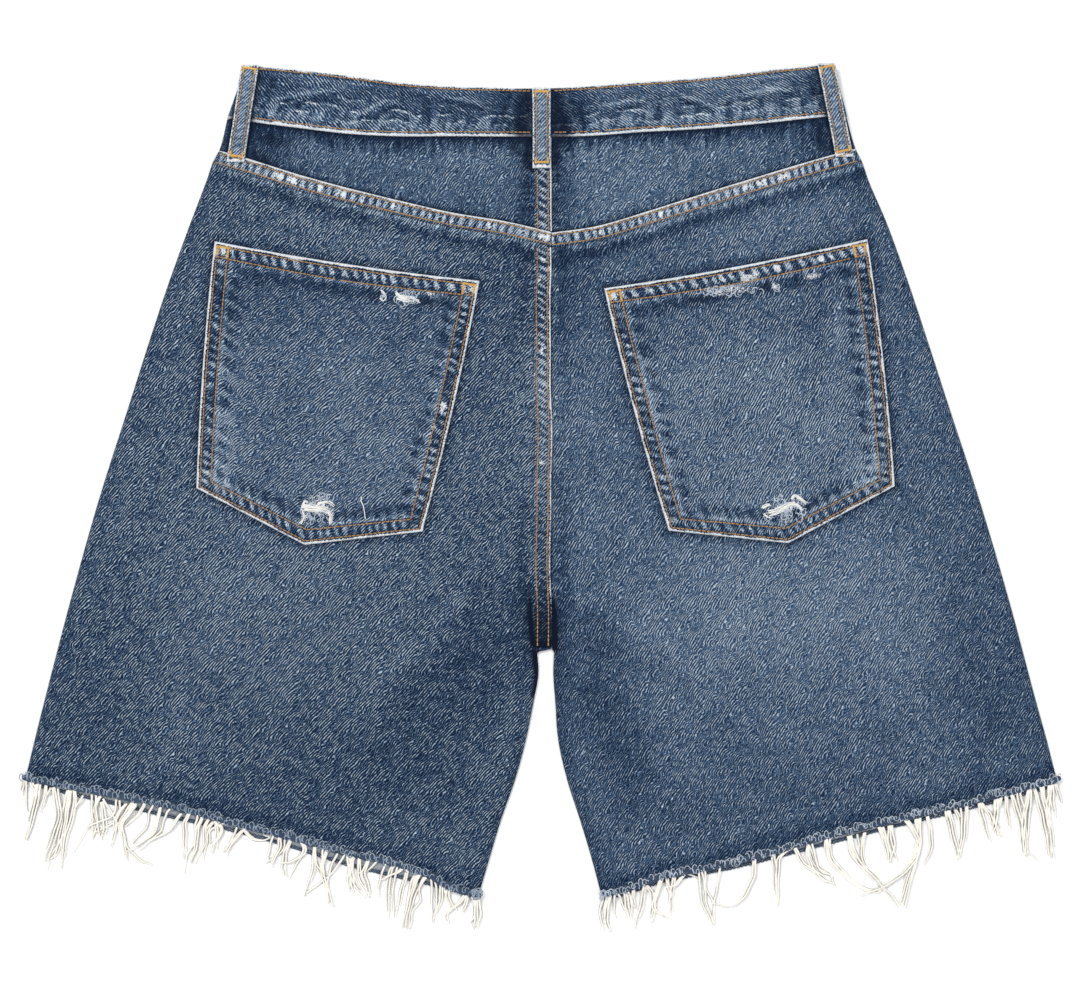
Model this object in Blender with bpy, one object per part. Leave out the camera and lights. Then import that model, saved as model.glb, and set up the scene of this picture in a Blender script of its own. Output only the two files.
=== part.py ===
"""Frayed-hem denim shorts, lying flat on a surface with the back uppermost.

The fronts lie on the surface. The backs lie on the fronts, a little lifted, and turn down round them at
the side folds and at the inner legs. Yokes, waistband, pockets and belt loops are separate pieces that
lie on one another as they are sewn, 0.3 mm apart. The cut hems carry a frayed roll with loose threads.

Sizes and tables are in millimetres and are turned into metres where a mesh is made. x runs right of the
seat seam, y runs from the hems to the waist, and z runs up from the surface.
"""

import math
from bisect import bisect_right
from typing import NamedTuple

import bmesh
import bpy
from mathutils import Vector

MM = 0.001

# Cloth
CLOTH = 1.2  # washed denim, one layer
BAND_CLOTH = 2.4  # waistband: two layers with their turnings
SEAM_GAP = 0.3
FELL_RISE = 1.1  # how far a felled seam stands over its panel
YOKE_FELL = 9.4  # width of the yoke seam's fell, on the leg panels
SEAT_FELL = 11.3  # width of the seat seam's fell, on the left panels
SEAT_X = 6.4  # where the left panels' fell ends, over the right ones
FRONT_X = 2.5  # the front rise seam
CROTCH_Y = -98.6
FRAME = (0.0, 0.36)  # puts the centre of the footprint at the origin

# Waistband
BAND_GAP = 0.8  # between the waistband's front and back layers
BAND_LIFT = BAND_CLOTH + BAND_GAP
FRONT_DIP = 14.0  # how much lower the band runs at the front centre
BUTTON_R, BUTTON_T = 8.5, 0.8
BUTTON_AT = (-14.0, 249.5)

# Belt loops
LOOP_CLOTH = 1.5
FRONT_LOOP_X, FRONT_LOOP_W, FRONT_LOOP_T = 92.0, 12.0, 1.0

# Back pockets: one pattern, sewn on twice
POCKET_TOP, POCKET_BOTTOM = 174.0, 149.5
POCKET_SIDE, POCKET_POINT = 162.0, 23.0  # down a side, and from there to the point
POCKET_SAG, POCKET_BOW = 2.0, 1.7  # how far the top edge sags and each side bows out
POCKET_HEM, POCKET_TURNING = 9.4, 9.0
POCKET_RISE = 0.6  # the hem and turnings over the pocket's single layer

# Front pieces
FLY_W, FLY_L, FLY_CORNER = 36.0, 142.0, 30.0
FACING_IN, FACING_DOWN = 88.0, 66.0
FRONT_INSET = 2.4  # from the side fold to the fronts' edge

# Frayed hems
ROLL_W, ROLL_T = 5.4, 2.7
FRONT_ROLL_W, FRONT_ROLL_T = 4.2, 1.3
BACK_ROLL_Z = 1.65
HEM_GAP = 0.6  # between a panel's cut edge and its frayed roll, whose edge waves
HEM_INNER, BACK_HEM_OUTER, FRONT_HEM_OUTER = 39.0, 338.5, 334.0  # where the rolls end, out from the centre
HEM_STATION = 12.0  # longest stretch of roll between two sections
ROLL_END = 0.62  # a roll's size at its two ends
STRAND_W, STRAND_T = 1.15, 0.8
STRAND_ROOT = 0.7 * STRAND_W  # half the width of the face a strand grows from

DENIM = (0.085, 0.125, 0.188, 1.0)
DENIM_DARK = (0.060, 0.096, 0.155, 1.0)
DENIM_WORN = (0.135, 0.180, 0.240, 1.0)
YARN = (0.82, 0.80, 0.74, 1.0)
COPPER = (0.48, 0.30, 0.18, 1.0)


class SideRow(NamedTuple):
    """The side folds: x of the left and right one at a height y."""

    y: float
    left: float
    right: float


SIDES = (
    SideRow(-181, -335.4, 334.6),
    SideRow(-158, -329.9, 328.8),
    SideRow(-132, -323.4, 321.6),
    SideRow(-67, -306.5, 304.2),
    SideRow(-2, -288.2, 285.0),
    SideRow(63, -267.5, 263.8),
    SideRow(102, -255.1, 251.2),
    SideRow(141, -242.1, 238.2),
    SideRow(180, -227.9, 224.0),
    SideRow(206, -218.0, 212.8),
    SideRow(219, -213.4, 208.2),
    SideRow(226, -209.6, 204.6),
    SideRow(246, -204.4, 198.8),
    SideRow(265, -199.2, 193.8),
    SideRow(281, -192.2, 189.8),
)


class InseamRow(NamedTuple):
    """The inner leg folds: x of the left and right one at a height y."""

    y: float
    left: float
    right: float


INSEAMS = (
    InseamRow(-258, -40.6, 38.6),
    InseamRow(-236, -34.1, 32.8),
    InseamRow(-210, -26.3, 25.0),
    InseamRow(-184, -17.2, 16.6),
    InseamRow(-158, -10.1, 10.8),
    InseamRow(-132, -4.9, 8.8),
    InseamRow(-115, -2.0, 7.6),
    InseamRow(-99, -2.9, 8.1),
)


class WaistRow(NamedTuple):
    """The back waistband's top and bottom edges at x."""

    x: float
    top: float
    bottom: float


WAIST = (
    WaistRow(-204, 281.4, 245.9),
    WaistRow(-190, 280.3, 243.9),
    WaistRow(-157, 277.4, 239.6),
    WaistRow(-125, 273.7, 235.9),
    WaistRow(-92, 269.3, 234.3),
    WaistRow(-60, 266.8, 234.4),
    WaistRow(-27, 265.9, 234.2),
    WaistRow(0, 265.4, 234.0),
    WaistRow(31, 267.0, 234.6),
    WaistRow(64, 269.6, 237.0),
    WaistRow(103, 272.3, 239.1),
    WaistRow(129, 275.1, 241.3),
    WaistRow(155, 278.2, 243.9),
    WaistRow(184, 280.6, 246.9),
    WaistRow(199, 281.4, 247.6),
)


class YokeRow(NamedTuple):
    """The yoke seam: y on each side at a distance out from the seat seam."""

    out: float
    left: float
    right: float


YOKE_SEAM = (
    YokeRow(0, 172.4, 171.8),
    YokeRow(30, 179.2, 176.2),
    YokeRow(65, 184.9, 186.4),
    YokeRow(98, 192.3, 196.8),
    YokeRow(135, 201.3, 208.1),
    YokeRow(165, 209.5, 217.0),
    YokeRow(200, 220.4, 226.6),
    YokeRow(218, 225.4, 230.4),
)


class HemRow(NamedTuple):
    """The cut hems at a distance out from the centre: where the backs end and where the fronts end."""

    out: float
    back_left: float
    back_right: float
    front_left: float
    front_right: float


HEMS = (
    HemRow(38, -256.4, -256.0, -262.0, -263.6),
    HemRow(58, -251.2, -251.0, -257.2, -258.4),
    HemRow(75, -242.2, -244.6, -252.5, -252.4),
    HemRow(95, -235.2, -240.4, -248.0, -248.2),
    HemRow(125, -228.5, -234.4, -240.7, -242.2),
    HemRow(160, -219.0, -224.6, -229.6, -233.6),
    HemRow(200, -208.8, -213.6, -218.4, -223.0),
    HemRow(240, -198.2, -204.6, -209.6, -213.0),
    HemRow(280, -190.0, -194.8, -200.2, -203.2),
    HemRow(310, -184.4, -187.2, -193.4, -195.4),
    HemRow(336, -179.4, -180.2, -186.6, -188.6),
)


class LiftRow(NamedTuple):
    """How far the back's inside lies over the surface, at the folds and in the middle of a panel."""

    y: float
    side: float
    middle: float


LIFTS = (
    LiftRow(-258, 1.65, 1.9),
    LiftRow(-190, 1.7, 2.3),
    LiftRow(-120, 1.8, 3.2),
    LiftRow(-50, 1.8, 3.6),
    LiftRow(60, 1.9, 3.4),
    LiftRow(170, 2.2, 3.2),
    LiftRow(224, 2.8, BAND_LIFT),
    LiftRow(240, BAND_LIFT, BAND_LIFT),
    LiftRow(290, BAND_LIFT, BAND_LIFT),
)
LIFT_RUN = 55.0  # a panel reaches its full lift this far from a fold


class Fold(NamedTuple):
    """A soft ridge (or, with a height below 0, a trough) in the backs: its middle, direction and size."""

    x: float
    y: float
    turn: float
    length: float
    width: float
    height: float


FOLDS = (
    Fold(1.5, -82, 90, 62, 9, -1.7),
    Fold(-19, -92, 78, 96, 11, 0.8),
    Fold(22, -94, 101, 92, 11, 0.8),
    Fold(-70, -96, 24, 120, 15, 0.55),
    Fold(-62, -128, 12, 130, 14, -0.45),
    Fold(74, -92, 155, 130, 16, 0.6),
    Fold(70, -122, 166, 120, 14, -0.5),
    Fold(-206, -60, 63, 170, 26, 0.6),
    Fold(205, -40, 116, 180, 26, 0.55),
    Fold(-120, 30, 8, 160, 40, 0.5),
    Fold(128, 26, 170, 160, 40, 0.45),
)


class Clump(NamedTuple):
    """Loose threads that hang together: their middle, count, spacing, length and lean, and their edge."""

    x: float
    count: int
    pitch: float
    length: float
    lean: float
    edge: str


FRINGE = (
    Clump(-331, 4, 3.2, 36, 1, "back"),
    Clump(-312, 5, 3.0, 48, -3, "back"),
    Clump(-320, 2, 7.0, 30, 3, "front"),
    Clump(-294, 3, 3.6, 30, -2, "back"),
    Clump(-300, 2, 6.0, 36, 2, "front"),
    Clump(-268, 5, 3.6, 38, 4, "back"),
    Clump(-276, 3, 5.0, 30, -3, "front"),
    Clump(-227, 4, 3.4, 40, 2, "back"),
    Clump(-230, 3, 5.0, 30, -3, "front"),
    Clump(-204, 3, 4.0, 27, -2, "back"),
    Clump(-171, 3, 3.4, 31, -2, "back"),
    Clump(-180, 2, 6.0, 18, 2, "front"),
    Clump(-146, 5, 3.4, 42, 3, "back"),
    Clump(-140, 3, 4.6, 30, 4, "front"),
    Clump(-118, 3, 3.6, 32, -3, "back"),
    Clump(-93, 4, 3.4, 44, 2, "back"),
    Clump(-99, 2, 6.0, 30, -3, "front"),
    Clump(-70, 2, 4.0, 20, 1, "back"),
    Clump(-53, 4, 3.4, 23, -3, "back"),
    Clump(-48, 2, 4.0, 17, 2, "front"),
    Clump(43, 2, 3.6, 20, 2, "back"),
    Clump(57, 4, 3.2, 27, 2, "back"),
    Clump(50, 2, 4.0, 19, -2, "front"),
    Clump(77, 3, 3.6, 31, -3, "back"),
    Clump(109, 4, 3.4, 40, 3, "back"),
    Clump(96, 2, 6.0, 20, -2, "front"),
    Clump(127, 2, 6.0, 22, -4, "front"),
    Clump(153, 2, 4.0, 40, 1, "back"),
    Clump(174, 4, 4.0, 32, 3, "back"),
    Clump(167, 2, 5.0, 20, 2, "front"),
    Clump(206, 4, 4.6, 44, 9, "back"),
    Clump(214, 3, 6.0, 38, -5, "front"),
    Clump(236, 3, 4.0, 28, -6, "back"),
    Clump(252, 2, 3.6, 36, -2, "back"),
    Clump(268, 4, 3.6, 33, 2, "back"),
    Clump(264, 2, 6.0, 22, 2, "front"),
    Clump(291, 4, 3.6, 29, -2, "back"),
    Clump(317, 3, 3.4, 46, 2, "back"),
    Clump(312, 2, 5.0, 34, -3, "front"),
    Clump(332, 3, 3.4, 43, -1, "back"),
)


class LoopRow(NamedTuple):
    """A belt loop on the back: middle of its top and bottom ends and its width."""

    name: str
    top_x: float
    top_y: float
    bottom_x: float
    bottom_y: float
    width: float


LOOPS = (
    LoopRow("belt_loop_centre", 0.0, 265.6, 0.2, 213.4, 12.3),
    LoopRow("belt_loop_left", -189.0, 280.6, -198.6, 217.4, 11.8),
    LoopRow("belt_loop_right", 184.6, 281.6, 196.6, 220.8, 11.8),
)


class PocketRow(NamedTuple):
    """A back pocket: its top edge's middle and turn in degrees, and what its sides have over the pattern."""

    name: str
    x: float
    y: float
    turn: float
    left_extra: float
    right_extra: float


POCKETS = (
    PocketRow("pocket_left", -126.2, 153.4, -8.5, -1.6, 4.4),
    PocketRow("pocket_right", 126.1, 151.7, 10.6, 0.4, -1.0),
)


class Line:
    """A smooth line through one column of a table, whose first column holds the keys."""

    def __init__(self, table, column):
        self.keys = [row[0] for row in table]
        self.values = [getattr(row, column) for row in table]
        steps = list(zip(self.keys, self.keys[1:], self.values, self.values[1:]))
        slopes = [(v1 - v0) / (k1 - k0) for k0, k1, v0, v1 in steps]
        middle = [(a + b) / 2 for a, b in zip(slopes, slopes[1:])]
        self.slopes = [slopes[0], *middle, slopes[-1]]

    def at(self, key):
        """The line's value at a key; it runs on straight past the table's ends."""
        first, last = self.keys[0], self.keys[-1]
        if key <= first:
            return self.values[0] + self.slopes[0] * (key - first)
        if key >= last:
            return self.values[-1] + self.slopes[-1] * (key - last)
        i = bisect_right(self.keys, key) - 1
        run = self.keys[i + 1] - self.keys[i]
        t = (key - self.keys[i]) / run
        rise = self.values[i + 1] - self.values[i]
        bend_in = self.slopes[i] * run - rise
        bend_out = rise - self.slopes[i + 1] * run
        return self.values[i] + t * rise + t * (1 - t) * ((1 - t) * bend_in + t * bend_out)


SIDE = {-1: Line(SIDES, "left"), 1: Line(SIDES, "right")}
INSEAM = {-1: Line(INSEAMS, "left"), 1: Line(INSEAMS, "right")}
YOKE = {-1: Line(YOKE_SEAM, "left"), 1: Line(YOKE_SEAM, "right")}
BACK_HEM = {-1: Line(HEMS, "back_left"), 1: Line(HEMS, "back_right")}
FRONT_HEM = {-1: Line(HEMS, "front_left"), 1: Line(HEMS, "front_right")}
WAIST_TOP = Line(WAIST, "top")
WAIST_BOTTOM = Line(WAIST, "bottom")
LIFT_SIDE = Line(LIFTS, "side")
LIFT_MIDDLE = Line(LIFTS, "middle")


def mix(a, b, share):
    """The value a share of the way from a to b."""
    return a + (b - a) * share


def smooth(share):
    """0 to 1 with level ends."""
    share = min(1.0, max(0.0, share))
    return share * share * (3 - 2 * share)


def yoke_y(side, x):
    """The yoke seam's height at x."""
    return YOKE[side].at(abs(x - SEAT_X))


def fold_height(x, y):
    """What the soft ridges and troughs add to the back's height."""
    total = 0.0
    for fold in FOLDS:
        turn = math.radians(fold.turn)
        dx, dy = x - fold.x, y - fold.y
        along = (dx * math.cos(turn) + dy * math.sin(turn)) / (fold.length / 2)
        across = (dy * math.cos(turn) - dx * math.sin(turn)) / fold.width
        if abs(along) < 1:
            total += fold.height * (1 - along * along) ** 2 * math.exp(-across * across)
    return total


def lift(x, y):
    """Height of the back's inside over the surface."""
    to_side = min(x - SIDE[-1].at(y), SIDE[1].at(y) - x)
    if y < CROTCH_Y:
        to_inner = abs(x - INSEAM[-1 if x < FRONT_X else 1].at(y))
    else:
        to_inner = abs(x - FRONT_X) + 1.5 * (y - CROTCH_Y)
    share = smooth((min(to_side, to_inner) + 12) / LIFT_RUN)
    low, high = LIFT_SIDE.at(y), LIFT_MIDDLE.at(y)
    folds = fold_height(x, y) * smooth(min(to_side, to_inner) / 12)
    if y > CROTCH_Y:
        folds = fold_height(x, y)
    return max(mix(low, high, share) + folds, low)


def back_top(x, y):
    """Height of the back's outside: cloth, fells and, above its lower edge, the waistband."""
    if y > WAIST_BOTTOM.at(x):
        return BAND_LIFT + BAND_CLOTH
    side = -1 if x < SEAT_X else 1
    in_yoke_fell = yoke_y(side, x) - YOKE_FELL - 1 <= y <= yoke_y(side, x) + 1
    in_seat_fell = SEAT_X - SEAT_FELL - 1 <= x <= SEAT_X + 1
    return lift(x, y) + CLOTH + (FELL_RISE if in_yoke_fell or in_seat_fell else 0.0)


def material(name, colour, roughness, metallic=0.0):
    """A Principled material."""
    made = bpy.data.materials.new(name)
    made.use_nodes = True
    shader = made.node_tree.nodes["Principled BSDF"]
    shader.inputs["Base Color"].default_value = colour
    shader.inputs["Roughness"].default_value = roughness
    shader.inputs["Metallic"].default_value = metallic
    made.diffuse_color = colour
    return made


def placed(point):
    """A table's point in metres, in the part's frame."""
    x, y, z = point
    return Vector((x + FRAME[0], y + FRAME[1], z)) * MM


def finish(bm, name, finish_material, crease=50):
    """Turns a bmesh into a smooth-shaded object with outward faces."""
    bmesh.ops.recalc_face_normals(bm, faces=bm.faces)
    if bm.calc_volume(signed=True) < 0:
        bmesh.ops.reverse_faces(bm, faces=bm.faces)
    mesh = bpy.data.meshes.new(name)
    bm.to_mesh(mesh)
    bm.free()
    mesh.shade_smooth()
    mesh.set_sharp_from_angle(angle=math.radians(crease))
    mesh.materials.append(finish_material)
    made = bpy.data.objects.new(name, mesh)
    bpy.context.scene.collection.objects.link(made)
    return made


def sheet(name, outer, inner, finish_material):
    """A wall of cloth between two grids of points of the same rows and columns."""
    rows, columns = len(outer), len(outer[0])
    bm = bmesh.new()
    cell = bm.verts.layers.int.new("cell")
    bmesh.ops.create_grid(bm, x_segments=columns - 1, y_segments=rows - 1, size=1)
    for index, vert in enumerate(bm.verts):
        vert[cell] = index
    grown = bmesh.ops.extrude_face_region(bm, geom=bm.faces[:], use_keep_orig=True)
    new = {item for item in grown["geom"] if isinstance(item, bmesh.types.BMVert)}
    for vert in bm.verts:
        row, column = divmod(vert[cell], columns)
        vert.co = placed((inner if vert in new else outer)[row][column])
    return finish(bm, name, finish_material)


def plate(name, outline, bottom, top, finish_material):
    """A flat piece of cloth from its outline."""
    bm = bmesh.new()
    face = bm.faces.new([bm.verts.new(placed((x, y, bottom))) for x, y in outline])
    grown = bmesh.ops.extrude_face_region(bm, geom=[face], use_keep_orig=True)
    new = [item for item in grown["geom"] if isinstance(item, bmesh.types.BMVert)]
    bmesh.ops.translate(bm, vec=(0, 0, (top - bottom) * MM), verts=new)
    return finish(bm, name, finish_material)


class Edge(NamedTuple):
    """One column of a wall near its edge: distance in and height, outside and inside."""

    outer_in: float
    outer_z: float
    inner_in: float
    inner_z: float


def turned_edge(height, rise):
    """A wall's edge that turns down round a fold to the surface, from the flat outwards."""
    over = height + rise
    return (
        Edge(9.0, over, 9.0, height - CLOTH),
        Edge(4.0, 0.97 * over, 4.2, 0.97 * height - CLOTH),
        Edge(1.4, 0.80 * over, 2.25, 0.80 * height - 0.72 * CLOTH),
        Edge(0.0, 0.42 * over, CLOTH, 0.42 * height),
        Edge(0.35, 0.0, 0.35 + CLOTH, 0.0),
    )


def seam_edge(height, rise):
    """A wall's edge at the seat seam, raised by the fell where it has one."""
    low = height - CLOTH
    return (
        Edge(SEAT_FELL + 0.9, height, SEAT_FELL + 0.9, low),
        Edge(SEAT_FELL, height + rise, SEAT_FELL, low),
        Edge(SEAT_FELL / 2, height + rise, SEAT_FELL / 2, low),
        Edge(0.6, height + rise, 0.6, low),
        Edge(0.0, height + 0.75 * rise, 0.0, low),
    )


def blend_edges(seam, turned, share):
    """The edge a share of the way from a seam to a turned-down fold."""
    return [Edge(*(mix(a, b, share) for a, b in zip(s, t))) for s, t in zip(seam, turned)]


class BackRow(NamedTuple):
    """A row across a back piece: its two ends, what the fell adds, and how far the inner edge turns down."""

    side_y: float
    seat_y: float
    seat_x: float
    rise: float
    turn: float
    bend: float


INNER_COLUMNS = (70.0, 48.0, 32.0, 21.0)  # distances from the seat seam, where the thighs roll over
OUTER_COLUMNS = (22.0, 45.0)
MIDDLE_COLUMNS = 5


def back_piece(name, side, rows, dev_top, dev_bottom, finish_material):
    """A piece of the back between its side fold and the seat seam or inner leg."""
    outer, inner = [], []
    fell = FELL_RISE if side < 0 else 0.0
    for row in rows:
        side_x = SIDE[side].at(row.side_y)
        reach = abs(row.seat_x - side_x)

        def place(distance):
            """x and y at a distance in from the side fold along the row."""
            share = distance / reach
            bend = (1 - row.bend) * dev_top(share) + row.bend * dev_bottom(share)
            return mix(side_x, row.seat_x, share), mix(row.side_y, row.seat_y, share) + bend

        line_out, line_in = [], []
        x, y = place(9.0)
        for edge in reversed(turned_edge(lift(x, y) + CLOTH, row.rise)):
            line_out.append((*place(edge.outer_in), edge.outer_z))
            line_in.append((*place(edge.inner_in), edge.inner_z))
        first, last = OUTER_COLUMNS[-1], reach - INNER_COLUMNS[0]
        middle = [mix(first, last, k / MIDDLE_COLUMNS) for k in range(1, MIDDLE_COLUMNS)]
        for distance in (*OUTER_COLUMNS, *middle, *(reach - d for d in INNER_COLUMNS)):
            x, y = place(distance)
            line_out.append((x, y, lift(x, y) + CLOTH + row.rise))
            line_in.append((x, y, lift(x, y)))
        x, y = place(reach - 12.0)
        height = lift(x, y) + CLOTH
        x, y = place(reach - 3.0)
        seam_height = lift(x, y) + CLOTH
        seam = seam_edge(seam_height, max(fell, row.rise))
        turned = turned_edge(height, row.rise)
        for edge in blend_edges(seam, turned, row.turn):
            line_out.append((*place(reach - edge.outer_in), edge.outer_z))
            line_in.append((*place(reach - edge.inner_in), edge.inner_z))
        outer.append(line_out)
        inner.append(line_in)
    return sheet(name, outer, inner, finish_material)


def deviation(line, start, end):
    """How far a line lies from its own chord, by share of the way from start to end."""

    def at(share):
        chord = mix(line(start), line(end), share)
        return line(mix(start, end, share)) - chord

    return at


LEG_FELL_ROWS = ((0.0, 0.75), (0.7, 1.0), (YOKE_FELL - 0.4, 1.0), (YOKE_FELL + 0.9, 0.0))
LEG_ROWS = (30.0, 62.0, 98.0, 134.0, 168.0, 198.0, 222.0, 242.0, 254.0)
CROTCH_ROWS = ((-7.0, 0.08), (-2.6, 0.35), (-0.5, 0.75), (1.4, 1.0))  # below the crotch, turn
THIGH_ROWS = (284.0, 300.0, 322.0, 346.0, 370.0, 394.0, 414.0)


def seat_edge_x(side, y):
    """x of a leg panel's inner edge: the seat seam, then the inner leg."""
    seam = SEAT_X if side < 0 else SEAT_X + SEAM_GAP
    share = smooth((CROTCH_Y - y) / 2.4)
    return mix(seam, INSEAM[side].at(min(y, CROTCH_Y - 1)), share)


def back_leg(name, side, finish_material):
    """The back of one leg, from the yoke seam to the cut hem."""
    seam = SEAT_X if side < 0 else SEAT_X + SEAM_GAP
    side_top = yoke_y(side, SIDE[side].at(222))
    side_bottom = BACK_HEM[side].at(335) + HEM_GAP
    seat_top = yoke_y(side, seam)
    inner_out = abs(INSEAM[side].at(-256))
    seat_bottom = BACK_HEM[side].at(inner_out)
    length = seat_top - seat_bottom
    top = deviation(lambda x: yoke_y(side, x), SIDE[side].at(side_top), seam)
    bottom = deviation(lambda x: BACK_HEM[side].at(abs(x)), side * 335, side * inner_out)
    spec = [(down, FELL_RISE * share, 0.0) for down, share in LEG_FELL_ROWS]
    spec += [(down, 0.0, 0.0) for down in LEG_ROWS]
    spec += [(seat_top - CROTCH_Y + below, 0.0, turn) for below, turn in CROTCH_ROWS]
    spec += [(down, 0.0, 1.0) for down in (*THIGH_ROWS, length - HEM_GAP)]
    rows = []
    for down, rise, turn in spec:
        share = down / length
        seat_y = seat_top - down
        side_y = mix(side_top, side_bottom, share)
        rows.append(BackRow(side_y, seat_y, seat_edge_x(side, seat_y), rise, turn, share))
    return back_piece(name, side, rows, top, bottom, finish_material)


YOKE_ROWS = (0.0, 0.34, 0.67, 1.0)


def yoke(name, side, finish_material):
    """The yoke on one side, between the waistband and the leg."""
    seam = SEAT_X if side < 0 else SEAT_X + SEAM_GAP
    side_top = WAIST_BOTTOM.at(SIDE[side].at(246)) - SEAM_GAP
    side_bottom = yoke_y(side, SIDE[side].at(222)) + SEAM_GAP
    seat_top = WAIST_BOTTOM.at(seam) - SEAM_GAP
    seat_bottom = yoke_y(side, seam) + SEAM_GAP
    top = deviation(WAIST_BOTTOM.at, SIDE[side].at(side_top), seam)
    bottom = deviation(lambda x: yoke_y(side, x), SIDE[side].at(side_bottom), seam)
    rows = [
        BackRow(mix(side_top, side_bottom, s), mix(seat_top, seat_bottom, s), seam, 0.0, 0.0, s)
        for s in YOKE_ROWS
    ]
    return back_piece(name, side, rows, top, bottom, finish_material)


BAND_ROWS = ((0.0, 0.5), (0.05, 0.0), (0.5, 0.0), (0.95, 0.0), (1.0, 0.5))  # share down, thinning
BAND_ARC = (150, 115, 90, 65, 30)  # degrees round a side fold, from under to over
BAND_BACK_COLUMNS = 18
BAND_FRONT_COLUMNS = 5


class BandColumn(NamedTuple):
    """A column of the waistband: distance in from a side fold, heights, and share of the front's dip."""

    side: int
    outer_in: float
    inner_in: float
    outer_z: float
    inner_z: float
    front: bool


def band_columns():
    """The waistband's columns from the front opening, round both side folds, back to the opening."""
    half = BAND_CLOTH + BAND_GAP / 2  # height of the fold's centre
    reach = {side: abs(SIDE[side].at(262)) for side in (-1, 1)}
    recess = FRONT_LOOP_T + SEAM_GAP
    loop_half = FRONT_LOOP_W / 2 + SEAM_GAP
    columns = {}
    for side in (-1, 1):
        centre = reach[side] + side * (FRONT_X + side * SEAM_GAP / 2)
        loop_in = reach[side] - FRONT_LOOP_X
        flat = [
            (centre, 0.0),
            (centre - 30, 0.0),
            (centre - 60, 0.0),
            (loop_in + loop_half + 0.4, 0.0),
            (loop_in + loop_half, recess),
            (loop_in - loop_half, recess),
            (loop_in - loop_half - 0.4, 0.0),
            (40.0, 0.0),
            (half, 0.0),
        ]
        run = [BandColumn(side, d, d, z, BAND_CLOTH, True) for d, z in flat]
        for angle in BAND_ARC:
            turn = math.radians(angle)
            run.append(
                BandColumn(
                    side,
                    half - half * math.sin(turn),
                    half - BAND_GAP / 2 * math.sin(turn),
                    half + half * math.cos(turn),
                    half + BAND_GAP / 2 * math.cos(turn),
                    False,
                )
            )
        columns[side] = run
    over = []
    width = reach[-1] + reach[1]
    for k in range(BAND_BACK_COLUMNS + 1):
        distance = mix(half, width - half, k / BAND_BACK_COLUMNS)
        near = -1 if distance < width / 2 else 1
        inward = distance if near < 0 else width - distance
        over.append(BandColumn(near, inward, inward, 2 * half, BAND_LIFT, False))
    return [*columns[-1], *over, *reversed(columns[1])]


def band_point(side, inward, share, front):
    """x and y of the waistband at a distance in from a side fold and a share of the way down."""
    across = 1 - inward / abs(SIDE[side].at(262))
    top_x, bottom_x = SIDE[side].at(281) * across, SIDE[side].at(246) * across
    dip = FRONT_DIP * (1 - across * across) if front else 0.0
    y = mix(WAIST_TOP.at(top_x), WAIST_BOTTOM.at(bottom_x), share) - dip
    return mix(top_x, bottom_x, share), y


def waistband(finish_material):
    """The waistband, one strip laid round the waist and open at the front."""
    outer, inner = [], []
    for share, thinning in BAND_ROWS:
        line_out, line_in = [], []
        for column in band_columns():
            thin = thinning if column.outer_z > BAND_LIFT else 0.0
            x, y = band_point(column.side, column.outer_in, share, column.front)
            line_out.append((x, y, column.outer_z - thin))
            x, y = band_point(column.side, column.inner_in, share, column.front)
            line_in.append((x, y, column.inner_z))
        outer.append(line_out)
        inner.append(line_in)
    band = sheet("waistband", outer, inner, finish_material)
    seat = cylinder("button_seat", BUTTON_AT, BUTTON_R + SEAM_GAP, -1.0, BUTTON_T + SEAM_GAP, None)
    seat.hide_render = True
    seat.display_type = "WIRE"
    cut = band.modifiers.new("button seat", "BOOLEAN")
    cut.operation = "DIFFERENCE"
    cut.object = seat
    return band


def cylinder(name, at, radius, bottom, top, finish_material):
    """An upright disc."""
    bm = bmesh.new()
    bmesh.ops.create_cone(
        bm,
        cap_ends=True,
        segments=28,
        radius1=radius * MM,
        radius2=radius * MM,
        depth=(top - bottom) * MM,
    )
    bmesh.ops.translate(bm, vec=placed((*at, (bottom + top) / 2)), verts=bm.verts)
    return finish(bm, name, finish_material or bpy.data.materials["guide"], crease=40)


def front_line_top(x):
    """The lower edge of the front waistband at x."""
    across = x / abs(SIDE[-1 if x < 0 else 1].at(246))
    return WAIST_BOTTOM.at(x) - FRONT_DIP * (1 - across * across) - 1.5 * SEAM_GAP


def side_edge(side, y):
    """x of the fronts' outer edge, inside the turned-down back."""
    return SIDE[side].at(y) - side * FRONT_INSET


def facing_arc(side, grow):
    """The front pocket's opening from the waistband to the side fold, moved by grow."""
    start_x = side_edge(side, 240) - side * FACING_IN
    end_y = front_line_top(side_edge(side, 240)) - FACING_DOWN
    points = []
    for k in range(9):
        turn = math.radians(90 * k / 8)
        x = start_x + side * (FACING_IN + 12) * (1 - math.cos(turn))
        y = mix(front_line_top(start_x), end_y, math.sin(turn)) - grow
        points.append((x - side * grow, y))
    return [p for p in points if side * p[0] < side * side_edge(side, p[1]) - 1.5]


def fly_corner():
    """The fly's curved lower corner, from its side to its end at the front seam."""
    left, end = FRONT_X - FLY_W, front_line_top(FRONT_X) - FLY_L
    points = []
    for k in range(7):
        turn = math.radians(90 * k / 6)
        x = left + (FLY_W - 3) * (1 - math.cos(turn))
        points.append((x, end + FLY_CORNER * (1 - math.sin(turn))))
    return points


def sampled(line, start, end, count):
    """Points on a line y(x) from start to end."""
    return [(x, line(x)) for x in (mix(start, end, k / count) for k in range(count + 1))]


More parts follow.
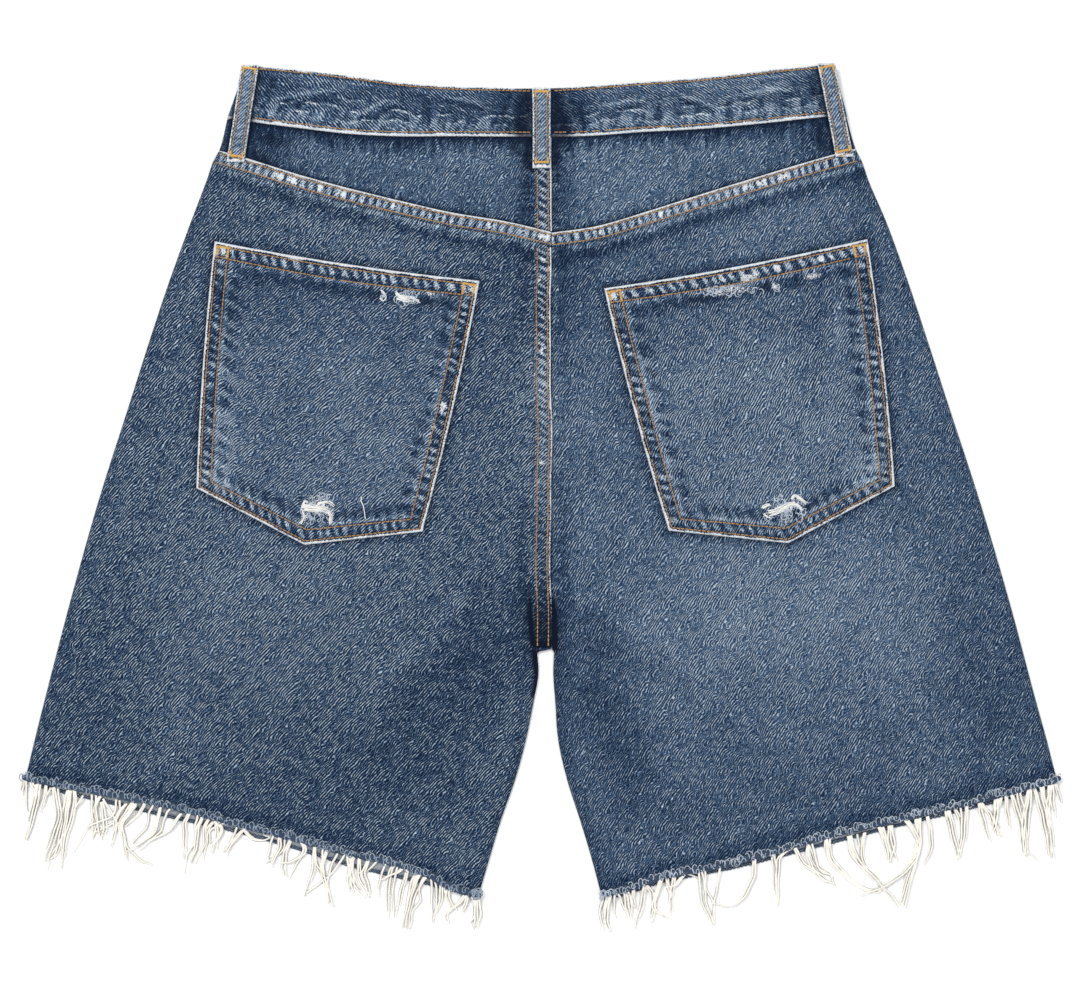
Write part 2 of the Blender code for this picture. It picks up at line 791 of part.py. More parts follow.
def front(name, side, finish_material):
    """One front: open at the pocket's mouth, and on the left at the fly."""
    gap = SEAM_GAP / 2
    centre_x = FRONT_X + side * gap
    arc = facing_arc(side, SEAM_GAP)
    mouth_x = arc[0][0]
    outline = []
    if side < 0:
        fly = [(x - SEAM_GAP, y - SEAM_GAP) for x, y in fly_corner()]
        outline += [(centre_x, CROTCH_Y + 9), (centre_x, fly[-1][1]), *reversed(fly)]
        outline.append((fly[0][0], front_line_top(fly[0][0])))
        start = fly[0][0]
    else:
        outline += [(centre_x, CROTCH_Y + 9), (centre_x, front_line_top(centre_x))]
        start = centre_x
    outline += sampled(front_line_top, start, mouth_x, 6)[1:-1]
    outline += arc
    low, high = HEMS[-1].front_left, arc[-1][1]
    hem = FRONT_HEM[side]
    lift_up = FRONT_ROLL_W + HEM_GAP
    for k in range(1, 13):
        y = mix(high, low + lift_up, k / 12)
        outline.append((side_edge(side, y), y))
    inner_out = abs(INSEAM[side].at(-256)) + FRONT_INSET
    outer_out = abs(side_edge(side, low)) - 0.5
    bottom = sampled(lambda x: hem.at(abs(x)) + lift_up, side * outer_out, side * inner_out, 16)
    outline += bottom[1:]
    for y in (-236, -210, -184, -158, -132, -115, -103):
        outline.append((INSEAM[side].at(y) + side * FRONT_INSET, y))
    outline.append((INSEAM[side].at(-99) + side * FRONT_INSET, CROTCH_Y - 1))
    return plate(name, outline, 0.0, CLOTH, finish_material)


def facing(name, side, finish_material):
    """The piece behind a front pocket's mouth, where it shows between the mouth and the side."""
    arc = facing_arc(side, 0.0)
    outline = list(arc)
    top = front_line_top(side_edge(side, 240))
    for k in range(10):
        y = mix(arc[-1][1], top, k / 9)
        outline.append((side_edge(side, y), y))
    outline += sampled(front_line_top, side_edge(side, top), arc[0][0], 8)[1:-1]
    return plate(name, outline, 0.0, CLOTH, finish_material)


def fly(finish_material):
    """The fly's facing, level with the fronts."""
    right = FRONT_X - SEAM_GAP / 2
    outline = [*fly_corner(), (right, fly_corner()[-1][1]), (right, front_line_top(right))]
    outline += sampled(front_line_top, right, FRONT_X - FLY_W, 3)[1:]
    return plate("fly", outline, 0.0, CLOTH, finish_material)


POCKET_ROWS = (0.0, 0.6, POCKET_HEM, POCKET_HEM + 1.2, 42.0, 76.0, 110.0, 142.0)  # down, along an edge
POCKET_LOW_ROWS = (POCKET_TURNING + 1.2, POCKET_TURNING, 0.7, 0.0)  # up from the lower edge
POCKET_COLUMNS = (0.0, 0.7, POCKET_TURNING, POCKET_TURNING + 1.2)


def pocket(row, finish_material):
    """A patch pocket that follows the panel under it."""
    turn = math.radians(row.turn)
    outer, inner = [], []

    def line_at(drop, from_low):
        points = []
        down = (POCKET_SIDE - drop if from_low else drop) / POCKET_SIDE
        half = mix(POCKET_TOP, POCKET_BOTTOM, down) / 2 + POCKET_BOW * 4 * down * (1 - down)
        middle = [mix(POCKET_COLUMNS[-1], half, k / 4) for k in range(1, 5)]
        left = [*POCKET_COLUMNS, *middle]
        for inward in [*left, *(2 * half - d for d in reversed(left[:-1]))]:
            u = inward - half
            across = u / half
            side = POCKET_SIDE + mix(row.left_extra, row.right_extra, (1 + across) / 2)
            low_edge = side + POCKET_POINT * (1 - abs(across))
            stretch = low_edge / POCKET_SIDE
            v = low_edge - drop if from_low else drop * (stretch if drop > 20 else 1.0)
            v += POCKET_SAG * (1 - across * across) * (1 - down)
            x = row.x + u * math.cos(turn) + v * math.sin(turn)
            y = row.y + u * math.sin(turn) - v * math.cos(turn)
            points.append((x, y, min(inward, 2 * half - inward)))
        return points

    lines = [(line_at(drop, False), drop, drop) for drop in POCKET_ROWS]
    lines += [(line_at(drop, True), 99.0, drop) for drop in POCKET_LOW_ROWS]
    for points, from_top, from_edge in lines:
        line_out, line_in = [], []
        for x, y, inward in points:
            base = back_top(x, y) + SEAM_GAP + 0.1
            in_hem = from_top <= POCKET_HEM
            in_turning = inward <= POCKET_TURNING or from_edge <= POCKET_TURNING
            rise = POCKET_RISE if in_hem or in_turning else 0.0
            rim = min(inward, from_edge) < 0.5
            line_out.append((x, y, base + CLOTH + rise - (0.35 if rim else 0.0)))
            line_in.append((x, y, base))
        outer.append(line_out)
        inner.append(line_in)
    return sheet(row.name, outer, inner, finish_material)


LOOP_ROWS = (0.0, 0.02, 0.2, 0.42, 0.62, 0.78, 0.9, 0.98, 1.0)
LOOP_COLUMNS = ((-0.5, 0.45), (-0.4, 0.0), (0.4, 0.0), (0.5, 0.45))  # across, thinning at the folds


def belt_loop(row, finish_material):
    """A belt loop from the waistband's top edge over it to the cloth below."""
    outer, inner = [], []
    over_band = BAND_LIFT + BAND_CLOTH + SEAM_GAP
    foot = max(back_top(row.bottom_x + dx, row.bottom_y + dy) for dx in (-5, 5) for dy in (0, 6))
    foot += SEAM_GAP + 0.15
    band_share = (row.top_y - WAIST_BOTTOM.at(row.bottom_x)) / (row.top_y - row.bottom_y) + 0.03
    for share in LOOP_ROWS:
        step = smooth((share - band_share) / (0.92 - band_share))
        height = mix(over_band, min(foot, over_band), step)
        end = 0.35 if share in (0.0, 1.0) else 0.0
        line_out, line_in = [], []
        for across, thinning in LOOP_COLUMNS:
            x = mix(row.top_x, row.bottom_x, share) + across * row.width
            y = mix(row.top_y, row.bottom_y, share)
            line_out.append((x, y, height + LOOP_CLOTH - max(thinning, end)))
            line_in.append((x, y, height))
        outer.append(line_out)
        inner.append(line_in)
    return sheet(row.name, outer, inner, finish_material)


def front_loop(name, side, finish_material):
    """A front belt loop, pressed level into the waistband it is sewn to."""
    inward = abs(SIDE[side].at(262)) - FRONT_LOOP_X
    half = FRONT_LOOP_W / 2 - SEAM_GAP
    corners = ((-half, 0.03), (half, 0.03), (half, 0.97), (-half, 0.97))
    outline = [band_point(side, inward + along, share, True) for along, share in corners]
    return plate(name, outline, 0.0, FRONT_LOOP_T, finish_material)


ROLL_SIDES = 6
ROLL_WAVE = ((0.83, 0.10), (2.17, 0.07))  # waves per clump-length, and their size


def roll_section(x, top_y, middle_z, width, thick):
    """The frayed roll's section at a station, hung from its upper edge, with one face down the leg."""
    swell = sum(size * math.sin(rate * x / 6) for rate, size in ROLL_WAVE)
    half, high = width / 2 * (1 + swell), thick / 2
    points = []
    for k in range(ROLL_SIDES):
        turn = math.radians(30 + 60 * k)
        across = half * (math.cos(turn) / math.cos(math.radians(30)) - 1)
        points.append((x, top_y + across, middle_z + high * math.sin(turn)))
    return points


def strand_path(root, length, lean, phase, floor_z):
    """Points down a loose thread: straight out of the roll, then swaying, and settling."""
    points = []
    for share in (0.14, 0.55, 1.0):
        sway = 0.55 * math.sin(phase + 5.2 * share) * share
        x = root[0] + lean * share * share + sway
        points.append((x, root[1] - length * share, mix(root[2], floor_z, smooth(share))))
    return points


def grow_strand(bm, face, path):
    """Extrudes a face of the roll along a path, as a thread of four sides."""
    centre = face.calc_center_median()
    sides = [(1 if v.co.x > centre.x else -1, 1 if v.co.z > centre.z else -1) for v in face.verts]
    start = centre
    for step, point in enumerate(path):
        target = placed(point)
        along = (target - start).normalized()
        across = Vector((-along.y, along.x, 0)).normalized()
        width = STRAND_W * (1.0 if step < len(path) - 1 else 0.6) * MM / 2
        thick = STRAND_T * (1.0 if step < len(path) - 1 else 0.7) * MM / 2
        face = bmesh.ops.extrude_discrete_faces(bm, faces=[face])["faces"][0]
        for vert, (right, up) in zip(face.verts, sides):
            vert.co = target + across * right * width + Vector((0, 0, up * thick))
        start = target


def hem_strands(side, edge):
    """Where an edge's strands leave the roll, in order across it."""
    found = []
    for clump in FRINGE:
        if clump.edge != edge or side * clump.x < 0:
            continue
        for k in range(clump.count):
            offset = k - (clump.count - 1) / 2
            phase = 2.4 * k + 0.37 * clump.x
            length = clump.length * (1 - 0.22 * abs(math.sin(phase)))
            lean = clump.lean + 0.5 * offset
            found.append((clump.x + offset * clump.pitch, length, lean, phase))
    return sorted(found)


def hem(name, side, edge, finish_material):
    """A cut hem's frayed roll with its loose threads grown from it."""
    is_back = edge == "back"
    line = BACK_HEM[side] if is_back else FRONT_HEM[side]
    width, thick = (ROLL_W, ROLL_T) if is_back else (FRONT_ROLL_W, FRONT_ROLL_T)
    middle_z = BACK_ROLL_Z + thick / 2 if is_back else thick / 2
    floor_z = BACK_ROLL_Z + STRAND_T / 2 if is_back else 0.3 + STRAND_T / 2
    up = 0.0 if is_back else width
    strands = hem_strands(side, edge)
    outermost = BACK_HEM_OUTER if is_back else FRONT_HEM_OUTER
    start, end = sorted((side * HEM_INNER, side * outermost))
    stations = {start, end}
    for x, *_ in strands:
        stations |= {x - STRAND_ROOT, x + STRAND_ROOT}
    for before, after in zip(sorted(stations), sorted(stations)[1:]):
        pieces = int((after - before) // HEM_STATION)
        stations |= {mix(before, after, k / (pieces + 1)) for k in range(1, pieces + 1)}
    ordered = sorted(stations)
    bm = bmesh.new()
    sections = []
    for x in ordered:
        shrink = ROLL_END if x in (start, end) else 1.0
        y = line.at(abs(x)) + up
        sections.append(roll_section(x, y, middle_z, width * shrink, thick * shrink))
    cap = bm.faces.new([bm.verts.new(placed(p)) for p in sections[0]])
    roots = {}
    for index, section in enumerate(sections[1:], start=1):
        old = list(cap.verts)
        if index == 1:
            grown = bmesh.ops.extrude_face_region(bm, geom=[cap], use_keep_orig=True)
            cap = next(g for g in grown["geom"] if isinstance(g, bmesh.types.BMFace))
        else:
            cap = bmesh.ops.extrude_discrete_faces(bm, faces=[cap])["faces"][0]
        new = list(cap.verts)
        for vert, point in zip(new, section):
            vert.co = placed(point)
        roots[ordered[index]] = next(f for f in new[2].link_faces if old[3] in f.verts)
    for x, length, lean, phase in strands:
        face = roots[x + STRAND_ROOT]
        centre = face.calc_center_median() / MM
        root = (centre.x - FRAME[0], centre.y - FRAME[1], centre.z)
        grow_strand(bm, face, strand_path(root, length, lean, phase, floor_z))
    return finish(bm, name, finish_material)


def clear_scene():
    """Empties the scene."""
    for item in list(bpy.data.objects):
        bpy.data.objects.remove(item, do_unlink=True)


def main():
    """Builds every piece."""
    clear_scene()
    bpy.context.scene.unit_settings.system = "METRIC"
    denim = material("denim", DENIM, 0.9)
    dark = material("denim_dark", DENIM_DARK, 0.9)
    worn = material("denim_worn", DENIM_WORN, 0.92)
    yarn = material("frayed_yarn", YARN, 0.95)
    copper = material("button_metal", COPPER, 0.4, 1.0)
    material("guide", DENIM, 1.0)
    for side, hand in ((-1, "left"), (1, "right")):
        back_leg(f"back_{hand}", side, denim)
        yoke(f"yoke_{hand}", side, denim)
        front(f"front_{hand}", side, denim)
        facing(f"front_pocket_{hand}", side, dark)
        front_loop(f"belt_loop_front_{hand}", side, worn)
        hem(f"back_hem_{hand}", side, "back", yarn)
        hem(f"front_hem_{hand}", side, "front", yarn)
    waistband(denim)
    fly(dark)
    cylinder("button", BUTTON_AT, BUTTON_R, 0.0, BUTTON_T, copper)
    for row in POCKETS:
        pocket(row, worn)
    for row in LOOPS:
        belt_loop(row, worn)


if __name__ == "__main__":
    main()
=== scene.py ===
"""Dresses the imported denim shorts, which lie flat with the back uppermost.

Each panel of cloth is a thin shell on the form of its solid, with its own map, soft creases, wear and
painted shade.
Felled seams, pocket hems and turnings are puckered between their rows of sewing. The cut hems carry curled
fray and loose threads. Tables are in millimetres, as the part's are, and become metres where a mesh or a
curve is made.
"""

from __future__ import annotations

import logging
import math
import random
from dataclasses import dataclass, field
from enum import Enum
from typing import Callable, Iterable, NamedTuple, Sequence

import bmesh
import bpy
import numpy as np
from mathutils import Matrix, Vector
from mathutils.bvhtree import BVHTree


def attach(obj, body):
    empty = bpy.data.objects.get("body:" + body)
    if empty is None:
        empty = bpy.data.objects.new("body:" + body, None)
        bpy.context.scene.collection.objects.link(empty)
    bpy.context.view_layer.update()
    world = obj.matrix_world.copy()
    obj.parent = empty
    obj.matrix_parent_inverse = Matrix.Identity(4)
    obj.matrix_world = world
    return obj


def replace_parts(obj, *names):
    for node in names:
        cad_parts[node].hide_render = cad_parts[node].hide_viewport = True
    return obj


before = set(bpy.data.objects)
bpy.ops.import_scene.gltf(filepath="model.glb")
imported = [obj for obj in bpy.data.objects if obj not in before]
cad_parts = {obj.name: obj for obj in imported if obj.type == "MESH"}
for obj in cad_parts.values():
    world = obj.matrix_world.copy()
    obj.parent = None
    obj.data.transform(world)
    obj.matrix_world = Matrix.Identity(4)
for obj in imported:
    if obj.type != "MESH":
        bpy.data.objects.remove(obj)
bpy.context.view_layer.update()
LOG = logging.getLogger("shorts")

MM = 0.001
OFFSET_Y = 0.36  # puts the tables' origin where the part has it

CLOTH = 1.2  # one layer of washed denim
SHELL = 1.0  # what a dressed layer keeps of it
FELL_WALL = 0.8  # what a dressed fell keeps of it
SEAM_GAP = 0.3

SEAT_X = 6.4  # right edge of the seat seam's fell
FRONT_X = 2.5  # the front rise seam
CROTCH_Y = -98.6
YOKE_FELL, SEAT_FELL = 9.4, 11.3  # widths of the felled seams
YOKE_ROWS, SEAT_ROWS = (1.7, 8.0), (2.0, 9.1)  # their rows of sewing, at distances across them
FELL_RISE = 1.1
SEAT_UPPER, SEAT_LOWER = (233.7, 172.9), (162.4, -97.6)  # the seat fell's two stretches, top and bottom
YOKE_DEPTH = 60.0  # about how far the yokes reach down

BAND_W = 35.0
BAND_CLOTH, BAND_GAP = 2.4, 0.8  # thickness of each of its layers, and the space between them
BAND_BACK_Z = 3.2  # where its back layer starts
BAND_Y, BAND_TOP_Y, BAND_LOW_Y = 262, 281, 246  # where it meets the side folds: middle, top, bottom
YOKE_END_Y = 222  # where the yoke seams meet them
FRONT_DIP = 14.0
FRONT_LOOP_X, FRONT_LOOP_W = 92.0, 12.0
BUTTON_X, BUTTON_Y, BUTTON_R = -14.0, 249.5, 8.5

HEM_OUT, HEM_IN_Y = 335.0, -256  # the hems' outer end, and where the inner legs reach them
HEM_SPARE = 0.05  # what a panel keeps clear of its cut edge

Array = np.ndarray
Bend = Callable[[Array], Array]
Path = Sequence[tuple[float, float]]
Material = bpy.types.Material
Object = bpy.types.Object


class Side(Enum):
    """A side of the garment, as it lies: the sign of its x."""

    LEFT = -1
    RIGHT = 1

    @property
    def word(self) -> str:
        """The side's name in tables and node names."""
        return self.name.lower()


def rows_of(kind: type, *rows: tuple) -> tuple:
    """One row of a kind for each tuple of values."""
    return tuple(kind(*row) for row in rows)


class Table:
    """Rows of numbers under named columns, the first of which rises and holds the keys."""

    def __init__(self, columns: str, *rows: tuple[float, ...]) -> None:
        """Keeps the rows, and the columns' names, which have spaces between them."""
        self.columns = columns.split()
        self.rows = rows


SIDES = Table(  # the side folds: x of the left and right one at a height y
    "y left right",
    (-181, -335.4, 334.6), (-158, -329.9, 328.8), (-132, -323.4, 321.6), (-67, -306.5, 304.2),
    (-2, -288.2, 285.0), (63, -267.5, 263.8), (102, -255.1, 251.2), (141, -242.1, 238.2),
    (180, -227.9, 224.0), (206, -218.0, 212.8), (219, -213.4, 208.2), (226, -209.6, 204.6),
    (246, -204.4, 198.8), (265, -199.2, 193.8), (281, -192.2, 189.8),
)

INSEAMS = Table(  # the inner leg folds
    "y left right",
    (-258, -40.6, 38.6), (-236, -34.1, 32.8), (-210, -26.3, 25.0), (-184, -17.2, 16.6),
    (-158, -10.1, 10.8), (-132, -4.9, 8.8), (-115, -2.0, 7.6), (-99, -2.9, 8.1),
)

WAIST = Table(  # the back waistband's top and bottom edges at x
    "x top bottom",
    (-204, 281.4, 245.9), (-190, 280.3, 243.9), (-157, 277.4, 239.6), (-125, 273.7, 235.9),
    (-92, 269.3, 234.3), (-60, 266.8, 234.4), (-27, 265.9, 234.2), (0, 265.4, 234.0), (31, 267.0, 234.6),
    (64, 269.6, 237.0), (103, 272.3, 239.1), (129, 275.1, 241.3), (155, 278.2, 243.9),
    (184, 280.6, 246.9), (199, 281.4, 247.6),
)

YOKE_SEAM = Table(  # the yoke seam: y on each side at a distance out from the seat seam
    "out left right",
    (0, 172.4, 171.8), (30, 179.2, 176.2), (65, 184.9, 186.4), (98, 192.3, 196.8), (135, 201.3, 208.1),
    (165, 209.5, 217.0), (200, 220.4, 226.6), (218, 225.4, 230.4),
)

HEMS = Table(  # the cut hems at a distance out from the centre: where the backs end and where the fronts end
    "out back_left back_right front_left front_right",
    (38, -256.4, -256.0, -262.0, -263.6), (58, -251.2, -251.0, -257.2, -258.4),
    (75, -242.2, -244.6, -252.5, -252.4), (95, -235.2, -240.4, -248.0, -248.2),
    (125, -228.5, -234.4, -240.7, -242.2), (160, -219.0, -224.6, -229.6, -233.6),
    (200, -208.8, -213.6, -218.4, -223.0), (240, -198.2, -204.6, -209.6, -213.0),
    (280, -190.0, -194.8, -200.2, -203.2), (310, -184.4, -187.2, -193.4, -195.4),
    (336, -179.4, -180.2, -186.6, -188.6),
)

LIFTS = Table(  # how far the back's inside lies over the surface, at the folds and in the middle of a panel
    "y side middle",
    (-258, 1.65, 1.9), (-190, 1.7, 2.3), (-120, 1.8, 3.2), (-50, 1.8, 3.6), (60, 1.9, 3.4),
    (170, 2.2, 3.2), (224, 2.8, 3.2), (240, 3.2, 3.2), (290, 3.2, 3.2),
)
LIFT_RUN = 55.0


class Mark(NamedTuple):
    """A long soft mark on the cloth: its middle, turn, length, width, and what it adds in the middle."""

    x: float
    y: float
    turn: float
    length: float
    width: float
    adds: float


FOLDS = rows_of(  # soft ridges in the backs, and troughs below 0
    Mark,
    (1.5, -82, 90, 62, 9, -1.7), (-19, -92, 78, 96, 11, 0.8), (22, -94, 101, 92, 11, 0.8),
    (-70, -96, 24, 120, 15, 0.55), (-62, -128, 12, 130, 14, -0.45), (74, -92, 155, 130, 16, 0.6),
    (70, -122, 166, 120, 14, -0.5), (-206, -60, 63, 170, 26, 0.6), (205, -40, 116, 180, 26, 0.55),
    (-120, 30, 8, 160, 40, 0.5), (128, 26, 170, 160, 40, 0.45),
)


def mix(a: Array | float, b: Array | float, share: Array | float) -> Array | float:
    """The value a share of the way from a to b."""
    return a + (b - a) * share


def smooth(share: Array | float) -> Array:
    """0 to 1 with level ends."""
    share = np.clip(share, 0.0, 1.0)
    return share * share * (3 - 2 * share)


def hill(offset: Array, width: float) -> Array:
    """1 at an offset of nought, falling softly away over a width."""
    return np.exp(-((offset / width) ** 2))


class Line:
    """A smooth line through one column of a table."""

    def __init__(self, table: Table, column: str) -> None:
        """Reads the table's keys and the named column."""
        place = table.columns.index(column)
        self.keys = np.array([row[0] for row in table.rows], float)
        self.values = np.array([row[place] for row in table.rows], float)
        steps = np.diff(self.values) / np.diff(self.keys)
        self.slopes = np.concatenate([steps[:1], (steps[:-1] + steps[1:]) / 2, steps[-1:]])

    def __call__(self, key: Array | float) -> Array:
        """The line's value at a key; it runs on straight past the table's ends."""
        key = np.asarray(key, float)
        i = np.clip(np.searchsorted(self.keys, key, side="right") - 1, 0, len(self.keys) - 2)
        run = self.keys[i + 1] - self.keys[i]
        t = np.clip((key - self.keys[i]) / run, 0, 1)
        rise = self.values[i + 1] - self.values[i]
        bend = (1 - t) * (self.slopes[i] * run - rise) + t * (rise - self.slopes[i + 1] * run)
        before = np.minimum(key - self.keys[0], 0) * self.slopes[0]
        after = np.maximum(key - self.keys[-1], 0) * self.slopes[-1]
        return self.values[i] + t * rise + t * (1 - t) * bend + before + after


class Pattern:
    """The garment's cut and how it lies, in millimetres."""

    def __init__(self) -> None:
        """Turns the tables into lines."""
        self.fold = {side: Line(SIDES, side.word) for side in Side}
        self.inseam = {side: Line(INSEAMS, side.word) for side in Side}
        self.yoke_seam = {side: Line(YOKE_SEAM, side.word) for side in Side}
        self.back_hem = {side: Line(HEMS, f"back_{side.word}") for side in Side}
        self.front_hem = {side: Line(HEMS, f"front_{side.word}") for side in Side}
        self.waist_top = Line(WAIST, "top")
        self.waist_bottom = Line(WAIST, "bottom")
        self.lift_side = Line(LIFTS, "side")
        self.lift_middle = Line(LIFTS, "middle")

    def yoke(self, side: Side, x: Array) -> Array:
        """The yoke seam's height at x."""
        return self.yoke_seam[side](np.abs(x - SEAT_X))

    def seam(self, side: Side) -> float:
        """x of the seat seam's edge of a side's panels."""
        return SEAT_X if side is Side.LEFT else SEAT_X + SEAM_GAP

    def off_fell(self, side: Side, x: Array) -> Array:
        """Distance from the seat fell's edge on a side's panels."""
        return np.abs(x - (SEAT_X - SEAT_FELL if side is Side.LEFT else SEAT_X))

    def waist(self, side: Side) -> float:
        """Distance from the centre to a side fold in the middle of the band."""
        return abs(float(self.fold[side](BAND_Y)))

    def yoke_end(self, side: Side) -> float:
        """y of the yoke seam at the side fold."""
        return float(self.yoke(side, self.fold[side](YOKE_END_Y)))

    def yoke_bend(self, side: Side, y: float) -> Bend:
        """The yoke seam's bend, from the side fold at y to the seat seam."""
        return bend_of(lambda x: self.yoke(side, x), float(self.fold[side](y)), self.seam(side))

    def folds(self, x: Array, y: Array) -> Array:
        """What the soft ridges and troughs add to the back's height."""
        total = np.zeros_like(x)
        for fold in FOLDS:
            total = total + fold.adds * crease(x, y, fold)
        return total

    def lift(self, x: Array, y: Array) -> Array:
        """Height of the back's inside over the surface."""
        to_side = np.minimum(x - self.fold[Side.LEFT](y), self.fold[Side.RIGHT](y) - x)
        leg = np.where(x < FRONT_X, self.inseam[Side.LEFT](y), self.inseam[Side.RIGHT](y))
        below = y < CROTCH_Y
        to_inner = np.where(below, np.abs(x - leg), np.abs(x - FRONT_X) + 1.5 * (y - CROTCH_Y))
        inward = np.minimum(to_side, to_inner)
        low = self.lift_side(y)
        base = mix(low, self.lift_middle(y), smooth((inward + 12) / LIFT_RUN))
        folds = self.folds(x, y) * np.where(below, smooth(inward / 12), 1.0)
        return np.maximum(base + folds, low)

    def front_top(self, x: Array) -> Array:
        """The lower edge of the front waistband at x."""
        left, right = self.fold[Side.LEFT](BAND_LOW_Y), self.fold[Side.RIGHT](BAND_LOW_Y)
        across = np.where(x < 0, x / left, x / right)
        return self.waist_bottom(x) - FRONT_DIP * (1 - across * across) - 1.5 * SEAM_GAP

    def seat_edge(self, side: Side, y: Array) -> Array:
        """x of a leg panel's inner edge: the seat seam, then the inner leg."""
        share = smooth((CROTCH_Y - y) / 2.4)
        return mix(self.seam(side), self.inseam[side](np.minimum(y, CROTCH_Y - 1)), share)


def crease(x: Array, y: Array, row: NamedTuple) -> Array:
    """The share, 0 to 1, of a long soft mark with a middle, turn, length and width, at each point."""
    turn = math.radians(row.turn)
    dx, dy = x - row.x, y - row.y
    along = (dx * math.cos(turn) + dy * math.sin(turn)) / (row.length / 2)
    across = (dy * math.cos(turn) - dx * math.sin(turn)) / row.width
    return np.where(np.abs(along) < 1, (1 - along * along) ** 2 * np.exp(-across * across), 0.0)


# Shader values


class Wire:
    """A shader socket that takes part in sums."""

    def __init__(self, looks: Looks, socket: bpy.types.NodeSocket) -> None:
        """Wraps an output socket of a material that is being made."""
        self.looks = looks
        self.socket = socket

    def __add__(self, other: Wire | float) -> Wire:
        """Sum."""
        return self.looks.math("ADD", self, other)

    __radd__ = __add__

    def __sub__(self, other: Wire | float) -> Wire:
        """Difference."""
        return self.looks.math("SUBTRACT", self, other)

    def __rsub__(self, other: Wire | float) -> Wire:
        """Difference from a number."""
        return self.looks.math("SUBTRACT", other, self)

    def __mul__(self, other: Wire | float) -> Wire:
        """Product."""
        return self.looks.math("MULTIPLY", self, other)

    __rmul__ = __mul__

    def __abs__(self) -> Wire:
        """Size without sign."""
        return self.looks.math("ABSOLUTE", self)

    def sine(self) -> Wire:
        """Sine of the value."""
        return self.looks.math("SINE", self)

    def clamp(self, low: float = 0.0, high: float = 1.0) -> Wire:
        """The value kept between two limits."""
        return self.looks.math("MINIMUM", self.looks.math("MAXIMUM", self, low), high)

    def step(self, low: float, high: float) -> Wire:
        """0 below low, 1 above high and smooth between them."""
        span = {"interpolation_type": "SMOOTHSTEP"}
        values = {"Value": self, "From Min": low, "From Max": high}
        return self.looks.node("ShaderNodeMapRange", span, values, "Result")


class Looks:
    """One material and the nodes that it is made of."""

    def __init__(self, name: str, **fixed: float | tuple) -> None:
        """Starts a material.

        Args:
            name: The material's name.
            **fixed: Values of its shader's sockets, with _ for each space in their names.
        """
        self.material = bpy.data.materials.new(name)
        self.material.use_nodes = True
        self.tree = self.material.node_tree
        self.shader = self.tree.nodes["Principled BSDF"]
        for socket, value in fixed.items():
            self.shader.inputs[socket.replace("_", " ")].default_value = value

    def node(self, kind: str, settings: dict, values: dict, out: str | int = 0) -> Wire:
        """Adds a node.

        Args:
            kind: The node's type.
            settings: What is set on the node itself; "stops" are a ramp's places and colours.
            values: Numbers, colours or wires for its sockets, by name or place.
            out: The output to return.

        Returns:
            The chosen output.
        """
        made = self.tree.nodes.new(kind)
        for key, value in settings.items():
            if key == "stops":
                self.stops(made.color_ramp, value)
            else:
                setattr(made, key, value)
        for key, value in values.items():
            self.feed(made.inputs[key], value)
        return Wire(self, made.outputs[out])

    @staticmethod
    def stops(ramp: bpy.types.ColorRamp, places: Sequence[tuple[float, tuple]]) -> None:
        """Gives a colour ramp its places and colours."""
        while len(ramp.elements) < len(places):
            ramp.elements.new(0.5)
        for element, (place, colour) in zip(ramp.elements, places):
            element.position = place
            element.color = (*colour, 1.0)

    def feed(self, socket: bpy.types.NodeSocket, value: Wire | float | tuple) -> None:
        """Links a wire to a socket, or sets its value."""
        if isinstance(value, Wire):
            self.tree.links.new(value.socket, socket)
        else:
            socket.default_value = value

    def math(self, operation: str, *values: Wire | float) -> Wire:
        """One Math node."""
        return self.node("ShaderNodeMath", {"operation": operation}, dict(enumerate(values)))

    def blend(self, share: Wire | float, low: Wire | tuple, high: Wire | tuple) -> Wire:
        """Mixes a share of the second colour into the first."""
        pair = [c if isinstance(c, Wire) else (*c, 1.0) for c in (low, high)]
        return self.node("ShaderNodeMix", {"data_type": "RGBA"}, {0: share, 6: pair[0], 7: pair[1]}, 2)

    def ramp(self, share: Wire, stops: Sequence[tuple[float, tuple]]) -> Wire:
        """A colour ramp."""
        return self.node("ShaderNodeValToRGB", {"stops": stops}, {0: share})

    def mask(self, name: str) -> Wire:
        """One of the piece's masks of wear and painted shade."""
        return self.node("ShaderNodeAttribute", {"attribute_name": name}, {}, "Fac")

    def cloth_map(self, turn: float, squeeze: float = 1.0) -> Wire:
        """The piece's own map, in metres, turned by some degrees and squeezed along its new x."""
        at = self.node("ShaderNodeUVMap", {"uv_map": "Cloth"}, {})
        values = {"Vector": at, "Rotation": (0, 0, math.radians(turn)), "Scale": (squeeze, 1, 1)}
        return self.node("ShaderNodeMapping", {"vector_type": "TEXTURE"}, values)

    def place(self) -> Wire:
        """The point's own place on the object."""
        return self.node("ShaderNodeTexCoord", {}, {}, "Object")

    def noise(self, at: Wire, size: float, detail: float = 2.0, warp: float = 0.0) -> Wire:
        """Noise whose lumps are about size metres across."""
        values = {"Vector": at, "Scale": 1 / size, "Detail": detail, "Distortion": warp}
        return self.node("ShaderNodeTexNoise", {}, values, 0)

    def axis(self, at: Wire, name: str) -> Wire:
        """One axis of a vector."""
        return self.node("ShaderNodeSeparateXYZ", {}, {0: at}, name)

    def finish(self, colour: Wire, height: Wire, depth: float, rough: Wire | float) -> Material:
        """Wires the shader.

        Args:
            colour: The surface's colour.
            height: Relief, 0 to 1.
            depth: What the relief's 1 is, in metres.
            rough: Roughness.

        Returns:
            The material.
        """
        bump = self.node("ShaderNodeBump", {}, {"Height": height, "Distance": depth, "Strength": 1.0})
        for socket, value in (("Base Color", colour), ("Normal", bump), ("Roughness", rough)):
            self.feed(self.shader.inputs[socket], value)
        return self.material


